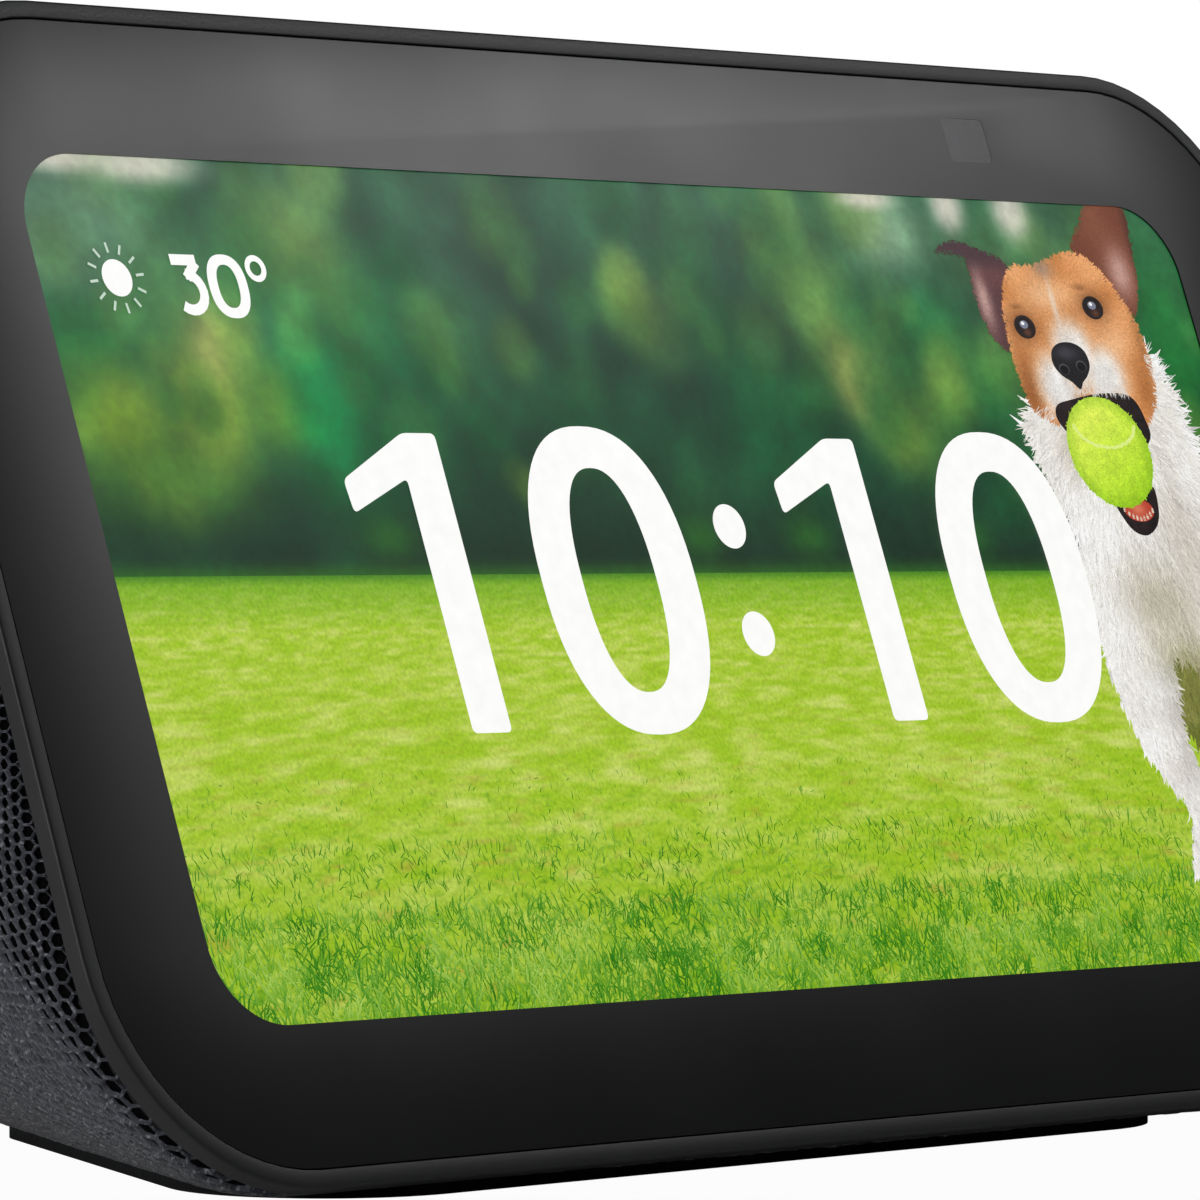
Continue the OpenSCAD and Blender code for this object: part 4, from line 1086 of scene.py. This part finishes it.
def sleeve():
    """A honeycomb knit over a near-black backing, which stands for the housing under it and is partly painted shade in
    the openings. Each cell is one opening between six strands.
    """
    frequency = 74
    directions, triangles = geodesic(frequency)
    form = convex_form("fabric_sleeve")
    low, high = (np.array(v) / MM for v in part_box("fabric_sleeve"))
    middle, half = (low + high) / 2, (high - low) / 2
    points = []
    for way in directions * half:
        hit = form.ray_cast(Vector(middle * MM), Vector(way))[0]
        points.append(hit)
    points = np.array(points) / MM
    for _ in range(10):
        eased = points * 0.4 + neighbour_mean(points, triangles) * 0.6
        points = np.array([form.find_nearest(Vector(p * MM))[0] for p in eased]) / MM
    for _ in range(2):
        points = points * 0.5 + neighbour_mean(points, triangles) * 0.5
    normals = point_normals(points, triangles)

    covered = on_sleeve(points, 0.15)
    backing = triangles[covered[triangles].all(axis=1)]
    used = np.unique(backing)
    index = np.full(len(points), -1)
    index[used] = np.arange(len(used))
    sink = 0.5
    # The backing is the dark housing under the knit. Its near-black tone, darker than that plastic, is painted shade in
    # the openings.
    shaded_backing = add_piece(
        "sleeve_backing_and_shade",
        points[used] - normals[used] * sink,
        index[backing],
        moulded("sleeve_backing_and_shade", "030304", "070708", 0.95, 0.3, 0.05, 0.1),
        smooth=0,
    )

    corners = points[triangles].mean(axis=1)
    corner_normals = normals[triangles].mean(axis=1)
    corner_normals /= np.linalg.norm(corner_normals, axis=1)[:, None]
    fans = [dict() for _ in range(len(points))]
    for t, (a, b, c) in enumerate(triangles):
        fans[a][b], fans[b][c], fans[c][a] = (c, t), (a, t), (b, t)
    crest, rim_height, opening = 0.15, -0.2, 0.21
    jitter = np.random.default_rng(11).normal(0, 0.03, corners.shape)
    crests = corners + corner_normals * crest + jitter
    knit = yarn()
    for name, wanted in (
        ("knit_left", points[:, 0] < -30),
        ("knit_middle", np.abs(points[:, 0]) <= 30),
        ("knit_right", points[:, 0] > 30),
    ):
        verts, faces, place = [], [], {}
        for cell in np.nonzero(wanted & on_sleeve(points, 0.55))[0]:
            start = here = next(iter(fans[cell]))
            ring = []
            while True:
                here, t = fans[cell][here]
                ring.append(t)
                if here == start:
                    break
            centre = points[cell] + normals[cell] * rim_height
            outer, inner = [], []
            for t in ring:
                if t not in place:
                    place[t] = len(verts)
                    verts.append(crests[t])
                outer.append(place[t])
                inner.append(len(verts))
                verts.append(centre * opening + (corners[t] + normals[cell] * rim_height) * (1 - opening))
            for k in range(len(ring)):
                j = (k + 1) % len(ring)
                faces.append((outer[k], outer[j], inner[j], inner[k]))
        net = add_piece(name, verts, faces, knit, smooth=0)
        if name == "knit_left":
            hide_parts("fabric_sleeve")


def hem():
    """The folded edge of the sleeve, tucked in behind the frame."""
    inset, radius, sides = SHELL_IN + 0.1, 0.32, 10
    rings = []
    for k in range(sides):
        a = 2 * math.pi * k / sides
        rings.append(face_ring(inset - radius * math.cos(a), SLEEVE_FRONT + radius * (1 + math.sin(a)), 20))
    verts, faces = bridge(rings, closed=True)
    edge = add_piece("sleeve_hem", verts, faces, LOOKS["foam"], FACE, 0)


sleeve()
hem()


# ---------- CAD nodes that keep their shape ----------


def carry_over():
    """Gives every CAD node the look of its slot, and eased edges where they show."""
    slots = {part["node"]: part["material_slot"] for part in frame["record"]["subparts"]}
    for name, obj in frame["nodes"].items():
        look = LOOKS.get(slots[name], LOOKS["inner_plastic"])
        for slot in obj.material_slots:
            slot.link = "OBJECT"
            slot.material = look
    eased = {"rubber_foot": 0.45, "top_trim": 0.2}
    eased.update({f"{name}_button": 0.25 for name in BUTTON_X})
    for name, width in eased.items():
        edge = frame["nodes"][name].modifiers.new("eased", "BEVEL")
        edge.width = width * MM
        edge.segments = 3
        edge.limit_method = "ANGLE"
        edge.angle_limit = math.radians(50)
        edge.harden_normals = True


def button_marks():
    """Printed marks: minus, plus, and a ring with a bar across it for the microphone and camera."""
    ink = moulded("button_ink", "b9babc", "cfd0d2", 0.5, 0.1, 0.002)
    length, width, thick = 1.7, 0.32, 0.03
    top = BUTTON_TOP + 0.01 - FACE_H / 2

    def bar(x, along, across, turn=0.0):
        c, s = math.cos(turn), math.sin(turn)
        corners = [(along / 2, across / 2), (-along / 2, across / 2), (-along / 2, -across / 2), (along / 2, -across / 2)]
        rings = []
        for level in (top, top + thick):
            rings.append([(x + a * c - b * s, level, -BUTTON_D - (a * s + b * c)) for a, b in corners])
        return capped(rings)

    def ring(x, radius):
        rings = []
        for r, level in ((radius, top), (radius, top + thick), (radius - width, top + thick), (radius - width, top)):
            rings.append(
                [
                    (x + r * math.cos(a), level, -BUTTON_D + r * math.sin(a))
                    for a in np.linspace(0, 2 * math.pi, 32, endpoint=False)
                ]
            )
        return bridge(rings, closed=True)

    marks = {
        "volume_down": [bar(BUTTON_X["volume_down"], length, width)],
        "volume_up": [
            bar(BUTTON_X["volume_up"], length, width),
            bar(BUTTON_X["volume_up"], width, length),
        ],
        "mic_camera": [
            ring(BUTTON_X["mic_camera"], length * 0.62),
            bar(BUTTON_X["mic_camera"], length, width, math.pi / 4),
        ],
    }
    for body, shapes in marks.items():
        verts, faces = [], []
        for shape_verts, shape_faces in shapes:
            faces += [tuple(i + len(verts) for i in f) for f in shape_faces]
            verts += shape_verts
        mark = add_piece(f"{body}_mark", verts, faces, ink, FACE, 30, body)


carry_over()
button_marks()


# ---------- stage: floor, lights and camera ----------


def stage():
    floor_size = 6000.0
    corners = [(sx * floor_size, sy * floor_size, -0.02) for sx, sy in ((-1, -1), (1, -1), (1, 1), (-1, 1))]
    mesh = bpy.data.meshes.new("floor")
    mesh.from_pydata((np.array(corners) * MM).tolist(), [], [(0, 1, 2, 3)])
    look = Look("floor")
    look.join(look.mix(look.ramp(look.noise(40.0), 0, 1), "f6f6f6", "fafafa"), look.shader.inputs["Base Color"])
    look.set(Roughness=0.9, Specular_IOR_Level=0.1)
    glow = look.nodes.new("ShaderNodeEmission")
    glow.inputs["Strength"].default_value = 0.97
    seen_floor = look.nodes.new("ShaderNodeLightPath")
    shown = look.nodes.new("ShaderNodeMixShader")
    look.join(seen_floor.outputs["Is Camera Ray"], shown.inputs[0])
    look.join(look.shader.outputs[0], shown.inputs[1])
    look.join(glow.outputs[0], shown.inputs[2])
    look.join(shown.outputs[0], look.nodes["Material Output"].inputs["Surface"])
    mesh.materials.append(look.material)
    floor = bpy.data.objects.new("floor", mesh)
    bpy.context.scene.collection.objects.link(floor)

    world = bpy.data.worlds.new("studio")
    bpy.context.scene.world = world
    world.use_nodes = True
    tree = world.node_tree
    backdrop = tree.nodes["Background"]
    room = tree.nodes.new("ShaderNodeBackground")
    backdrop.inputs["Color"].default_value = (1, 1, 1, 1)
    backdrop.inputs["Strength"].default_value = 1.0
    room.inputs["Color"].default_value = (0.92, 0.95, 1, 1)
    room.inputs["Strength"].default_value = 0.07
    choose = tree.nodes.new("ShaderNodeMixShader")
    seen = tree.nodes.new("ShaderNodeLightPath")
    tree.links.new(seen.outputs["Is Camera Ray"], choose.inputs[0])
    tree.links.new(room.outputs[0], choose.inputs[1])
    tree.links.new(backdrop.outputs[0], choose.inputs[2])
    tree.links.new(choose.outputs[0], tree.nodes["World Output"].inputs["Surface"])

    target = FACE_MIDDLE
    for name, place, size, power in (
        ("key", (0.583, -0.412, 0.52), 0.15, 0.72),
        ("left_fill", (-0.9, 0.08, 0.32), 0.5, 2.6),
        ("back", (-0.3, 0.9, 0.8), 0.6, 4.0),
    ):
        light = bpy.data.lights.new(name, "AREA")
        light.shape, light.size, light.energy = "SQUARE", size, power
        lamp = bpy.data.objects.new(name, light)
        lamp.location = place
        lamp.rotation_euler = (target - lamp.location).to_track_quat("-Z", "Y").to_euler()
        bpy.context.scene.collection.objects.link(lamp)

    camera_data = bpy.data.cameras.new("camera")
    camera_data.lens, camera_data.sensor_width = 218.24, 36.0
    camera_data.clip_start = 0.01
    camera = bpy.data.objects.new("camera", camera_data)
    camera.location = (-0.3937, -0.3840, 0.0457)
    camera.rotation_euler = (math.radians(90 - 0.572), 0, math.radians(-47.0))
    bpy.context.scene.collection.objects.link(camera)
    bpy.context.scene.camera = camera
    bpy.context.scene.view_settings.view_transform = "Standard"


stage()
